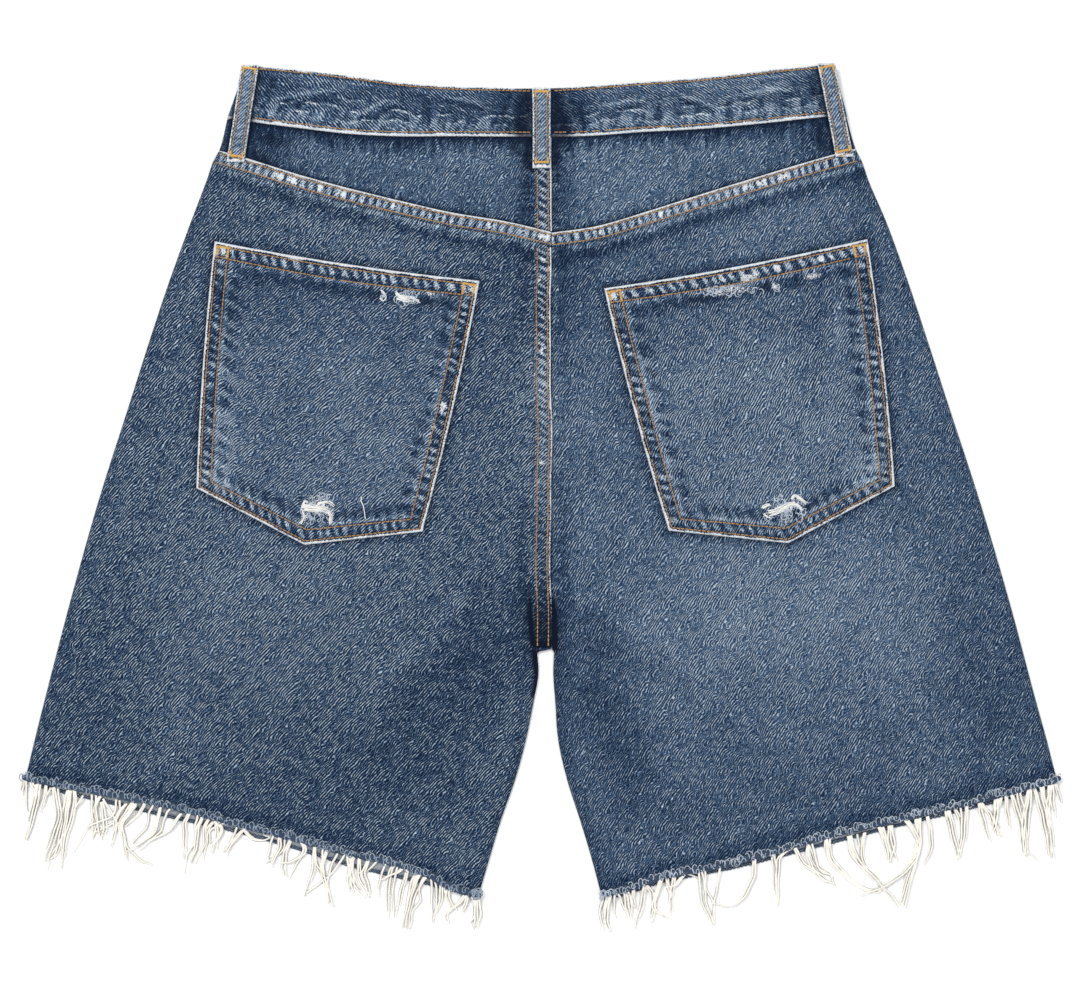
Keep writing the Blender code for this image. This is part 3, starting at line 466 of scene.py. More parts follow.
INDIGO = (
    (0.00, (0.003, 0.010, 0.030)),
    (0.22, (0.019, 0.042, 0.089)),
    (0.45, (0.047, 0.089, 0.158)),
    (0.70, (0.099, 0.157, 0.238)),
    (0.86, (0.203, 0.274, 0.358)),
    (1.00, (0.534, 0.588, 0.636)),
)


@dataclass(frozen=True)
class DenimFinish:
    """Washed indigo twill.

    Its masks are the fade (0 deep indigo, 1 worn white, lowered in places as painted shade), dark (painted
    shade in creases, under edges and beside raised parts), white (worn through to the weft), and pull_x and
    pull_y (fine creases along x or y where sewing pulls the cloth, worn pale with painted shade between).
    """

    name: str
    twill_turn: float  # the direction of the twill's lines
    twill: float  # how strongly they show
    wander: float  # how far they stray
    curl: float  # how far they curl where the cloth is puckered
    pitch: float = 0.00152
    grit: float = 1.0  # how strongly single fibres show

    def material(self) -> Material:
        """Makes the material."""
        looks = Looks(self.name, Sheen_Weight=0.03, Sheen_Roughness=0.5, Specular_IOR_Level=0.08)
        flat = looks.cloth_map(0)
        turned = looks.cloth_map(self.twill_turn, 1.45)
        patch = looks.noise(flat, 0.045, 2.0) - 0.5
        coarse = looks.noise(flat, 0.0105, 2.0) - 0.5
        stray = looks.noise(flat, 0.0085, 1.0)
        lines = looks.axis(looks.cloth_map(self.twill_turn), "Y") * (2 * math.pi / self.pitch)
        even = looks.noise(flat, 0.008, 1.0).step(0.36, 0.58)
        ripple = looks.noise(flat, 0.0024, 0.0, 0.6) * (1.15 - even) * self.curl
        ridge = (lines + stray * self.wander + ripple).sine() * 0.5 + 0.5
        fray = 1 - (abs(looks.noise(turned, 0.00115, 0.0, 1.0) - 0.5) * 5.0).clamp()
        grain = looks.noise(turned, 0.00070, 1.0) - 0.5
        broken = looks.noise(turned, 0.0019, 0.0).step(0.30, 0.66) * 0.5 + 0.70
        crisp = (ridge * ridge * broken - 0.36) * (0.85 + 0.5 * even) * self.twill
        weave = crisp + ((fray - 0.42) * 0.34 + grain * 0.95) * self.grit
        broad = coarse * 0.13 + patch * 0.16
        tone = looks.mask("fade") + weave + broad + self.pulls(looks) - 0.12
        colour = looks.ramp(tone.clamp(0.02, 0.95), INDIGO)
        white = looks.mask("white")
        bare = white + (grain * 1.1 + (fray - 0.4) * 0.5 + coarse * 0.6) * white.step(0.03, 0.30)
        colour = looks.blend(bare.step(0.40, 0.66), colour, (0.66, 0.70, 0.73))
        # Painted shade: the dark mask turns the colour to near-black indigo.
        colour = looks.blend(looks.mask("dark").clamp(), colour, (0.002, 0.006, 0.020))
        relief = ridge * 0.6 + fray * 0.3 + grain * 0.4 + 0.3
        return looks.finish(colour, relief, 0.0006, 0.88)

    @staticmethod
    def pulls(looks: Looks) -> Wire:
        """Fine creases where sewing pulls the cloth, along either axis of the map: paler on their worn
        ridges, with painted shade between.
        """
        across = looks.noise(looks.cloth_map(90, 5.0), 0.0030, 1.0, 0.6) - 0.47
        down = looks.noise(looks.cloth_map(0, 5.0), 0.0030, 1.0, 0.6) - 0.47
        return across * looks.mask("pull_y") * 1.5 + down * looks.mask("pull_x") * 1.5


@dataclass(frozen=True)
class LiningFinish:
    """The wrong side of the denim, where the undyed weft shows."""

    name: str = "denim_wrong_side"

    def material(self) -> Material:
        """Makes the material."""
        looks = Looks(self.name)
        at = looks.place()
        fine = looks.noise(at, 0.0016, 3.0)
        wide = looks.noise(at, 0.012, 2.0)
        tone = fine * 0.6 + wide * 0.4
        stops = ((0.25, (0.13, 0.16, 0.20)), (0.5, (0.29, 0.32, 0.36)), (0.75, (0.48, 0.50, 0.52)))
        return looks.finish(looks.ramp(tone, stops), fine, 0.0003, 0.92)


# Sheets of cloth


@dataclass
class Weave:
    """One piece of cloth as a grid: places, cloth map, and wear and painted shade, all in millimetres or
    shares.
    """

    x: Array
    y: Array
    z: Array
    u: Array
    v: Array
    fade: Array = None
    dark: Array = None
    white: Array = None
    pull_x: Array = None
    pull_y: Array = None

    MASKS = ("fade", "dark", "white", "pull_x", "pull_y")

    def __post_init__(self) -> None:
        """Starts every mask that isn't given at nought."""
        for mask in self.MASKS:
            if getattr(self, mask) is None:
                setattr(self, mask, np.zeros_like(self.x))

    def darken(self, amount: Array) -> None:
        """Deepens the shade to an amount wherever it is less."""
        self.dark = np.maximum(self.dark, amount)

    def cut(self) -> tuple[tuple[float, float], float]:
        """The piece's size laid flat: width and length in metres, and area in square metres."""
        u, v = self.u * MM, self.v * MM
        first = (u[1:, 1:] - u[:-1, :-1]) * (v[1:, :-1] - v[:-1, 1:])
        second = (v[1:, 1:] - v[:-1, :-1]) * (u[1:, :-1] - u[:-1, 1:])
        return (float(np.ptp(u)), float(np.ptp(v))), float(np.abs(first - second).sum() / 2)

    def tidy(self) -> None:
        """Keeps the masks within 0 and 1."""
        for mask in self.MASKS:
            setattr(self, mask, np.clip(getattr(self, mask), 0.0, 1.0))


@dataclass
class Tailor:
    """Makes cloth objects, and keeps the finishes that they share."""

    pattern: Pattern = field(default_factory=Pattern)
    lining: Material = None
    made: list = field(default_factory=list)
    tops: list = field(default_factory=list)
    cuts: dict = field(default_factory=dict)

    def __post_init__(self) -> None:
        """Makes the wrong side's finish."""
        self.lining = LiningFinish().material()

    def sheet(
        self,
        name: str,
        weave: Weave,
        finish: Material,
        shell: float = SHELL,
        up: bool = True,
        node: str = "",
        slot: str = "denim",
    ) -> Object:
        """Makes a thin closed shell of cloth from a grid.

        Args:
            name: The piece's name.
            weave: Its outer surface, with map and masks.
            finish: The material of its right side.
            shell: Thickness, inwards, in millimetres.
            up: Whether the right side looks up.
            node: The solid that it stands for, if any.
            slot: The material slot of its finish; not used.

        Returns:
            The object.
        """
        weave.tidy()
        self.cuts[name] = weave.cut()
        rows, columns = weave.x.shape
        bm = bmesh.new()
        bmesh.ops.create_grid(bm, x_segments=columns - 1, y_segments=rows - 1, size=0.5)
        for mask in Weave.MASKS:
            bm.verts.layers.float.new(mask)
        cloth = bm.loops.layers.uv.new("Cloth")
        masks = {mask: bm.verts.layers.float[mask] for mask in Weave.MASKS}
        flat = {mask: getattr(weave, mask).ravel().tolist() for mask in Weave.MASKS}
        points = np.stack([weave.x, weave.y + OFFSET_Y, weave.z], -1).reshape(-1, 3) * MM
        places = (np.stack([weave.u, weave.v], -1).reshape(-1, 2) * MM).tolist()
        for index, (vert, point) in enumerate(zip(bm.verts, points.tolist())):
            vert.co = point
            for mask, layer in masks.items():
                vert[layer] = flat[mask][index]
        for face in bm.faces:
            face.smooth = True
            for loop in face.loops:
                loop[cloth].uv = places[loop.vert.index]
        bm.normal_update()
        middle = float(np.median(points[:, 2]))
        high = [f for f in bm.faces if f.calc_center_median().z >= middle]
        facing = sum(f.normal.z * f.calc_area() for f in high)
        if (facing > 0) != up:
            bmesh.ops.reverse_faces(bm, faces=bm.faces)
        made = self.piece(name, bm, finish)
        made.data.materials.append(self.lining)
        wall = made.modifiers.new("wall", "SOLIDIFY")
        wall.thickness = shell * MM
        wall.offset = -1
        wall.material_offset = 1
        wall.use_quality_normals = True
        if node:
            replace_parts(made, node)
        self.tops.append(made)
        return made

    def piece(self, name: str, bm: bmesh.types.BMesh, finish: Material) -> Object:
        """Turns a bmesh into an object that rides on the garment."""
        mesh = bpy.data.meshes.new(name)
        bm.to_mesh(mesh)
        bm.free()
        mesh.materials.append(finish)
        made = bpy.data.objects.new(name, mesh)
        bpy.context.scene.collection.objects.link(made)
        self.ride(made)
        return made

    def ride(self, made: Object) -> None:
        """Puts an object on the garment's one body and lists it."""
        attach(made, "root")
        self.made.append(made)
        LOG.info("%s: %s", made.name, made.type.lower())


# Wear and painted shade


LEG_PATCHES = rows_of(
    Mark,
    (-157, -62, 8, 260, 62, 0.09), (-235, -110, 70, 200, 40, 0.03), (-80, -158, 66, 200, 44, -0.11),
    (-42, -98, 74, 150, 26, -0.17), (-290, -130, 72, 240, 26, -0.10), (-170, -196, 12, 320, 28, -0.09),
    (-60, 10, 82, 220, 30, 0.02), (172, -84, 168, 270, 52, 0.17), (98, -62, 130, 170, 42, 0.08),
    (40, -100, 104, 150, 22, -0.07), (48, -150, 105, 200, 22, -0.14), (282, -110, 110, 240, 24, -0.09),
    (232, -60, 112, 180, 30, 0.06), (160, -190, 168, 330, 26, -0.01), (30, 20, 90, 300, 26, 0.08),
    (-28, 142, 90, 120, 14, -0.06), (24, 140, 90, 120, 14, -0.08), (-12, 46, 90, 150, 8, 0.14),
    (-210, 168, 164, 90, 12, -0.04), (-120, 172, 166, 160, 18, 0.09), (140, 172, 16, 160, 16, 0.12),
    (178, -40, 8, 210, 24, 0.07), (72, -136, 118, 150, 22, 0.08), (36, 166, 12, 64, 9, -0.12),
    (1, 84, 90, 54, 12, 0.12), (-210, -20, 20, 240, 50, 0.03), (-150, -140, 10, 300, 44, -0.03),
    (-232, 40, 74, 230, 14, 0.02), (250, 80, 106, 250, 14, 0.04), (-52, -60, 58, 90, 5, 0.10),
    (-74, -88, 46, 120, 6, 0.09), (-96, -112, 38, 120, 7, 0.08), (-70, -120, 40, 110, 6, -0.10),
    (-44, -66, 62, 80, 4, -0.10), (62, -84, 150, 120, 6, 0.10), (88, -104, 156, 140, 7, 0.04),
    (70, -112, 152, 110, 6, -0.08), (112, -132, 160, 150, 8, 0.02), (56, -66, 140, 90, 5, 0.08),
    (-8.5, -138, 84, 70, 2.5, 0.16),
)


def paint(weave: Weave, rows: Iterable[Mark]) -> None:
    """Adds soft marks to a piece's fade, which carries painted shade as well as wear."""
    for row in rows:
        weave.fade += row.adds * crease(weave.x, weave.y, row)


def shade(weave: Weave, rows: Iterable[Mark], share: Array | float = 1.0) -> None:
    """Adds soft marks to a piece's dark shade."""
    for row in rows:
        weave.darken(row.adds * crease(weave.x, weave.y, row) * share)


def to_path(x: Array, y: Array, path: Path) -> Array:
    """Distance from each point to a line through some points."""
    nearest = np.full(x.shape, np.inf)
    for (ax, ay), (bx, by) in zip(path, path[1:]):
        run, rise = bx - ax, by - ay
        along = np.clip(((x - ax) * run + (y - ay) * rise) / (run * run + rise * rise), 0, 1)
        nearest = np.minimum(nearest, np.hypot(x - ax - along * run, y - ay - along * rise))
    return nearest


def inside(x: Array, y: Array, path: Path) -> Array:
    """True for the points within a closed outline."""
    found = np.zeros(x.shape, bool)
    for (ax, ay), (bx, by) in zip(path, [*path[1:], path[0]]):
        spans = (ay > y) != (by > y)
        rise = by - ay if by != ay else 1e-9
        found ^= spans & (x < ax + (y - ay) * (bx - ax) / rise)
    return found


@dataclass(frozen=True)
class Puckers:
    """The row of little gathers that sewing makes along a seam."""

    pitch: float = 4.9
    seed: float = 0.0

    def at(self, along: Array) -> Array:
        """Their height, -1 to 1, at a distance along the seam."""
        drift = np.sin(along * 0.071 + self.seed) + 0.6 * np.sin(along * 0.193 + 2.3 * self.seed)
        strength = 0.84 + 0.16 * np.sin(along * 0.113 + 1.7 * self.seed + 1.1)
        beat = 0.18 * np.sin(along * 0.47 + 3.1 * self.seed) + 0.12 * np.sin(along * 1.31 + self.seed)
        wave = np.sin(2 * math.pi * along / self.pitch + 1.5 * drift)
        return wave * strength + beat


def rough(x: Array, y: Array, size: float, seed: float = 0.0) -> Array:
    """A gentle unevenness, about -1 to 1, with swells about size across."""
    rate = 2 * math.pi / size
    first = np.sin(rate * (0.8 * x + 0.37 * y) + seed) * np.sin(rate * (0.29 * x - 0.83 * y) + 2 * seed)
    second = np.sin(rate * (1.63 * x - 0.91 * y) + 3 * seed) * np.sin(rate * (0.77 * x + 1.71 * y) - seed)
    return 0.65 * first + 0.35 * second


# The backs


TURNED = Table(  # a wall's section where it turns down round a fold: how far in, and share of its height
    "step inward share",
    (0.0, 9.0, 1.0), (0.3, 5.4, 0.995), (0.5, 3.0, 0.94), (0.65, 1.5, 0.82), (0.77, 0.55, 0.64),
    (0.87, 0.1, 0.44), (0.94, 0.05, 0.24), (1.0, 0.35, 0.06),
)
FOLD_STEPS = np.array([0.0, 0.2, 0.36, 0.5, 0.6, 0.7, 0.79, 0.87, 0.94, 1.0])
FOLD_IN = Line(TURNED, "inward")
FOLD_SHARE = Line(TURNED, "share")
NEAR_SEAM = np.arange(24.0, 9.4, -1.2)  # how far the columns beside the seat seam lie from it


@dataclass
class Span:
    """The rows of a back piece: their ends at the side fold and at the seat, by share of the way down."""

    side: Side
    down: Array
    side_y: Array
    seat_y: Array
    seat_x: Array
    bend_top: Bend
    bend_low: Bend
    turned_in: Array

    def weave(self, pattern: Pattern, middle: int, near: Array, rise: Array | float = 0.0) -> Weave:
        """Lays the piece out.

        Args:
            pattern: The garment's cut.
            middle: How many columns lie between the two edges.
            near: Distances of the columns near the seat seam, falling.
            rise: What the piece stands over its panel.

        Returns:
            The piece's grid.
        """
        side_x = pattern.fold[self.side](self.side_y)
        reach = np.abs(self.seat_x - side_x)[:, None]
        fold_in, drop = FOLD_IN(FOLD_STEPS), FOLD_SHARE(FOLD_STEPS)
        out = fold_in[::-1]
        shares = np.linspace(0, 1, middle + 2)[1:-1]
        between = out[-1] + (reach - near[0] - out[-1]) * shares
        rows = (len(self.down), 1)
        inner = reach - np.tile(near, rows)
        seam_in = 9.0 * (1 - FOLD_STEPS)
        turn = self.turned_in[:, None]
        edge = reach - mix(seam_in, fold_in, turn)
        distance = np.concatenate([np.tile(out, rows), between, inner, edge], 1)
        x, y = self.place(distance, reach, side_x[:, None])
        base = pattern.lift(x, y) + CLOTH + rise
        count = len(out)
        base[:, :count] = base[:, count - 1 : count] * drop[::-1]
        start = -len(FOLD_STEPS)
        hold = base[:, start : start + 1]
        base[:, start:] = mix(base[:, start:], hold * drop, turn)
        z = np.maximum(base, 0.05)
        sign = self.side.value
        fallen = np.maximum(np.maximum(z[:, count - 1 : count], z) - z, 0)
        fallen[:, count:start] = 0
        shift = np.zeros_like(z)
        shift[:, :count] = sign * fallen[:, :count]
        shift[:, start:] = -sign * np.maximum(hold - z[:, start:], 0)
        return Weave(x, y, z, x + shift, y.copy())

    def place(self, distance: Array, reach: Array, side_x: Array) -> tuple[Array, Array]:
        """x and y at a distance in from the side fold along each row."""
        share = distance / reach
        down = self.down[:, None]
        bend = (1 - down) * self.bend_top(share) + down * self.bend_low(share)
        x = mix(side_x, self.seat_x[:, None], share)
        return x, mix(self.side_y[:, None], self.seat_y[:, None], share) + bend


def bend_of(line: Bend, start: float, end: float) -> Bend:
    """How far a line lies from its own chord, by share of the way from start to end."""
    return lambda share: line(mix(start, end, share)) - mix(line(start), line(end), share)


THIGH_SHADE = {  # the deep shade where each thigh meets the seat seam
    Side.LEFT: ((-6.6, -56), (-7.8, -74), (-6.0, -92), (-4.0, -104), (-2.4, -118), (-4.2, -128)),
    Side.RIGHT: ((7.4, -64), (8.6, -80), (8.8, -98)),
}


@dataclass
class BackLeg:
    """The back of one leg, from the yoke seam to the cut hem."""

    side: Side
    tailor: Tailor
    finish: Material
    row_step: float = 2.3
    columns: int = 104

    def span(self) -> Span:
        """The leg's rows."""
        pattern, side = self.tailor.pattern, self.side
        sign = side.value
        seam = pattern.seam(side)
        side_top = pattern.yoke_end(side)
        side_low = pattern.back_hem[side](HEM_OUT) + HEM_SPARE
        seat_top = pattern.yoke(side, seam)
        inner = abs(pattern.inseam[side](HEM_IN_Y))
        seat_low = pattern.back_hem[side](inner)
        length = float(seat_top - seat_low)
        down = np.arange(0, length, self.row_step)
        crotch = seat_top - CROTCH_Y
        fine = crotch + np.array([-7, -5, -3.5, -2, -0.8, 0.2, 1.0, 1.8, 3.0])
        down = down[np.min(np.abs(down[:, None] - fine[None]), axis=1) > 0.7]
        down = np.sort(np.concatenate([down, fine, [length - HEM_SPARE]]))
        share = down / length
        seat_y = seat_top - down
        turned = smooth((CROTCH_Y - seat_y + 8.0) / 10.0) ** 1.5
        hem = bend_of(lambda x: pattern.back_hem[side](np.abs(x)), sign * HEM_OUT, sign * float(inner))
        return Span(
            side, share, mix(side_top, side_low, share), seat_y, pattern.seat_edge(side, seat_y),
            pattern.yoke_bend(side, side_top), hem, turned,
        )

    def build(self) -> Object:
        """Makes the panel with its wear and painted shade."""
        pattern = self.tailor.pattern
        weave = self.span().weave(pattern, self.columns, NEAR_SEAM)
        x, y = weave.x, weave.y
        weave.z += 0.22 * rough(x, y, 74, self.side.value) * smooth((weave.z - 2.0) / 1.5)
        weave.fade = np.full(x.shape, 0.40 if self.side is Side.LEFT else 0.475)
        paint(weave, LEG_PATCHES)
        self.wear(weave)
        word = self.side.word
        return self.tailor.sheet(f"leg_back_{word}", weave, self.finish, node=f"back_{word}")

    def wear(self, weave: Weave) -> None:
        """Darkens the cloth beside its seams, folds, hem and pockets with painted shade and some wear, and
        pulls it there.
        """
        pattern, side = self.tailor.pattern, self.side
        x, y = weave.x, weave.y
        below_yoke = pattern.yoke(side, x) - YOKE_FELL - y
        weave.fade += 0.26 * hill(below_yoke - 1.2, 2.6) - 0.27 * hill(below_yoke - 7.5, 4.2)
        weave.pull_y += 1.0 * hill(below_yoke - 2.5, 5.0)
        off_seam = pattern.off_fell(side, x)
        above = smooth((y - CROTCH_Y + 40) / 60)
        deep = 0.24 * (1 - 0.85 * hill(y - 45, 62))
        weave.fade += (0.10 * hill(off_seam - 1.5, 2.2) - deep * hill(off_seam - 6.5, 6.0)) * above
        # Painted shade along both edges of the seat fell.
        weave.darken(0.5 * hill(x - SEAT_X - 0.4, 1.8) * above)
        weave.darken(0.3 * hill(x - SEAT_X + SEAT_FELL + 0.4, 1.5) * above)
        weave.pull_x += 0.55 * hill(off_seam - 3.0, 8.0) * above
        shadow = to_path(x, y, THIGH_SHADE[side])
        start = smooth((-54 - y) / 24)
        weave.darken((1.35 * hill(shadow, 1.8) + 0.40 * hill(shadow, 5.2)) * start)
        # Painted shade along the inner leg's fold, just above the hem roll and along the side fold.
        to_inner = np.abs(x - pattern.inseam[side](np.minimum(y, CROTCH_Y)))
        weave.fade -= 0.14 * hill(to_inner - 2.0, 5.0) * smooth((CROTCH_Y - y) / 20)
        from_hem = y - pattern.back_hem[side](np.abs(x))
        weave.fade -= 0.22 * hill(from_hem - 2.0, 6.0)
        weave.pull_y += 0.35 * hill(from_hem - 3.0, 9.0)
        in_from_side = np.abs(pattern.fold[side](y) - x)
        weave.fade -= 0.08 * hill(in_from_side, 9.0)
        weave.fade += 0.03 * rough(x, y, 61, 1.3) + 0.025 * rough(x, y, 33, 0.4)
        for pocket in POCKETS:
            path = pocket_outline(pocket)
            gap = to_path(x, y, [*path, path[0]])
            outside = ~inside(x, y, path)
            # Painted shade round each pocket: a soft darker halo and a dark line at its edge.
            weave.fade -= outside * 0.14 * hill(gap - 1.0, 3.8)
            weave.darken(outside * 0.80 * hill(gap - 0.1, 1.6))
            weave.pull_x += outside * 0.3 * hill(gap - 2.0, 6.0)


class PocketRow(NamedTuple):
    """A back pocket: its top edge's middle and turn in degrees, and what its sides have over the pattern."""

    name: str
    x: float
    y: float
    turn: float
    left_extra: float
    right_extra: float


POCKETS = (
    PocketRow("pocket_left", -126.2, 153.4, -8.5, -1.6, 4.4),
    PocketRow("pocket_right", 126.1, 151.7, 10.6, 0.4, -1.0),
)
POCKET_TOP, POCKET_BOTTOM = 174.0, 149.5
POCKET_SIDE, POCKET_POINT = 162.0, 23.0
POCKET_SAG, POCKET_BOW = 2.0, 1.7
POCKET_HEM, POCKET_TURNING = 10.9, 10.2


def pocket_length(row: PocketRow, across: Array) -> Array:
    """A pocket's length by share across (-1 to 1)."""
    side = POCKET_SIDE + mix(row.left_extra, row.right_extra, (1 + across) / 2)
    return side + POCKET_POINT * (1 - np.abs(across))


def pocket_place(row: PocketRow, across: Array, down: Array) -> tuple[Array, Array]:
    """x and y of a pocket's point by share across (-1 to 1) and share down its own length."""
    v = down * pocket_length(row, across)
    part = np.clip(v / POCKET_SIDE, 0, 1)
    half = mix(POCKET_TOP, POCKET_BOTTOM, part) / 2 + POCKET_BOW * 4 * part * (1 - part)
    u = across * half
    v = v + POCKET_SAG * (1 - across * across) * (1 - down)
    turn = math.radians(row.turn)
    x = row.x + u * math.cos(turn) + v * math.sin(turn)
    y = row.y + u * math.sin(turn) - v * math.cos(turn)
    return x, y


def pocket_outline(row: PocketRow) -> list[tuple[float, float]]:
    """A pocket's outline as points, from its top left corner round to its left side."""
    steps = np.linspace(0, 1, 9)[:-1]
    still = 0 * steps
    rounds = (
        (2 * steps - 1, still), (1 + still, steps), (1 - steps, 1 + still), (-steps, 1 + still),
        (still - 1, 1 - steps),
    )
    path = []
    for across, down in rounds:
        x, y = pocket_place(row, across, down)
        path += list(zip(x.tolist(), y.tolist()))
    return path


# Seams that lie over


@dataclass
class Yoke:
    """The yoke on one side, between the waistband and the leg."""

    side: Side
    tailor: Tailor
    finish: Material
    columns: int = 92

    def build(self) -> Object:
        """Makes the panel with its wear and painted shade."""
        pattern, side = self.tailor.pattern, self.side
        seam = pattern.seam(side)
        side_top = float(pattern.waist_bottom(pattern.fold[side](BAND_LOW_Y)) - SEAM_GAP)
        side_low = pattern.yoke_end(side) + SEAM_GAP
        seat_top = float(pattern.waist_bottom(seam) - SEAM_GAP)
        seat_low = float(pattern.yoke(side, seam) + SEAM_GAP)
        share = spaced(YOKE_DEPTH, 2.2) / YOKE_DEPTH
        waist = bend_of(pattern.waist_bottom, float(pattern.fold[side](side_top)), seam)
        span = Span(
            side, share, mix(side_top, side_low, share), mix(seat_top, seat_low, share),
            np.full_like(share, seam), waist, pattern.yoke_bend(side, side_low), np.zeros_like(share),
        )
        weave = span.weave(pattern, self.columns, NEAR_SEAM)
        x, y = weave.x, weave.y
        weave.z += 0.25 * rough(x, y, 46, 2.0 + side.value) * smooth((weave.z - 3.0) / 1.0)
        inward = np.abs(x - SEAT_X) / 200
        weave.fade = 0.41 + (0.15 if side is Side.RIGHT else 0.07) * (1 - inward)
        paint(weave, YOKE_PATCHES)
        # Painted shade under the waistband's lower edge.
        below_band = pattern.waist_bottom(x) - y
        weave.fade += 0.06 * hill(below_band - 14, 6.0) - 0.34 * hill(below_band, 6.5)
        weave.dark = 0.85 * hill(below_band, 2.6)
        weave.pull_y += 0.9 * hill(below_band - 4.0, 9.0)
        # Painted shade where the yoke meets the fell that lies over it.
        above_fell = y - pattern.yoke(side, x)
        weave.fade -= 0.14 * hill(above_fell, 3.0)
        weave.pull_y += 0.6 * hill(above_fell - 2.0, 6.0)
        off_seam = pattern.off_fell(side, x)
        weave.fade += 0.10 * hill(off_seam - 1.0, 1.8) - 0.27 * hill(off_seam - 4.0, 6.5)
        # Painted shade beside the seat fell's edge and along the yoke fell's edge.
        weave.darken(0.55 * hill(x - SEAT_X - 0.4, 1.8))
        weave.darken(0.75 * hill(above_fell, 1.9))
        weave.pull_x += 0.7 * hill(off_seam - 3.0, 7.0)
        # Painted shade beside the belt loops.
        for loop in LOOPS:
            weave.darken(loop.shade(x, y))
        shade(weave, LOOP_SHADES)
        # Painted shade along the side fold.
        in_from_side = np.abs(pattern.fold[side](y) - x)
        weave.fade -= 0.12 * hill(in_from_side, 9.0)
        word = side.word
        return self.tailor.sheet(f"yoke_back_{word}", weave, self.finish, node=f"yoke_{word}")


# Soft marks on the yokes' fade; the dark ones beside the side belt loops are painted shade.
YOKE_PATCHES = rows_of(
    Mark,
    (-150, 216, 166, 120, 10, 0.07), (-60, 205, 4, 110, 14, 0.05), (-92, 226, 4, 60, 6, -0.10),
    (-176, 228, 160, 70, 8, -0.06), (58, 205, 4, 100, 16, 0.12), (120, 222, 12, 120, 10, 0.06),
    (150, 236, 10, 90, 6, -0.08), (-128, 190, 170, 20, 5, 0.10), (-70, 212, 4, 120, 15, 0.07),
    (-30, 202, 90, 50, 12, 0.05), (20, 206, 90, 76, 8, -0.05), (-178, 232, 170, 50, 9, -0.20),
    (-190, 216, 168, 50, 8, -0.20), (176, 232, 10, 46, 8, -0.16), (150, 212, 14, 90, 10, 0.05),
)


def spaced(length: float, step: float) -> Array:
    """Places along a length, close together near both of its ends."""
    fine = np.array([0.0, 0.35, 0.8, 1.3, 1.9, 2.6, 3.4])
    count = int((length - 2 * fine[-1]) / step) + 1
    middle = np.linspace(fine[-1], length - fine[-1], count + 1)
    return np.concatenate([fine[:-1], middle, (length - fine[:-1])[::-1]])


def bare_edge(inward: Array, along: Array, width: float = 1.5, seed: float = 0.0) -> Array:
    """How far a folded edge is rubbed bare, at distances in from it and along it."""
    ragged = 0.55 * np.sin(along * 0.31 + seed) * np.sin(along * 0.117 + 2 * seed)
    ragged = ragged + 0.45 * np.sin(along * 1.13 + 3 * seed) * np.sin(along * 0.71 - seed)
    reach = width * (0.92 + 0.42 * ragged)
    return 0.95 * (1 - smooth((inward - reach + 0.5) / 1.0))


def web(along: Array, across: Array, seed: float = 0.0) -> Array:
    """Thin wavy lines that come and go along worn cloth."""
    wave = 0.95 * across + 1.3 * np.sin(0.13 * along + seed) + 0.8 * np.sin(0.29 * along + 2 * seed)
    wave = wave + 0.35 * np.sin(0.71 * along + 3 * seed)
    shown = smooth((rough(along, 2 * across, 34, seed) + 0.25) / 0.4)
    return np.maximum(np.cos(wave), 0.0) ** 4 * shown


def bars(gather: Array) -> Array:
    """The rubbed tops of a row of gathers, 0 to 1, narrower than the hollows between them."""
    return smooth((gather + 0.18) / 0.55)


def groove(across: Array, row: float, width: float = 0.9) -> Array:
    """How deep a row of sewing pulls the cloth in, at distances across a seam."""
    return hill(across - row, width)


def between_rows(across: Array, first: float, second: float) -> Array:
    """1 midway between two rows of sewing, falling to nought at both."""
    return np.sin(np.clip((across - first) / (second - first), 0, 1) * math.pi)


def dome(inward: Array, edge: float) -> Array:
    """1 inside a folded edge, falling to nought at it over a width."""
    return np.sqrt(np.clip(1 - (1 - np.clip(inward / edge, 0, 1)) ** 2, 0, 1))


def rounded(across: Array, width: float, edge: float = 1.1) -> Array:
    """1 across a strip, falling to nought at its two folded edges."""
    return dome(np.minimum(across, width - across), edge)


def seat_lean(y: Array, top: float) -> Array:
    """How far the seat fell strays sideways below its top."""
    return (0.5 * np.sin(y * 0.045) - 0.25 * np.sin(y * 0.11)) * smooth((top - y) / 30)


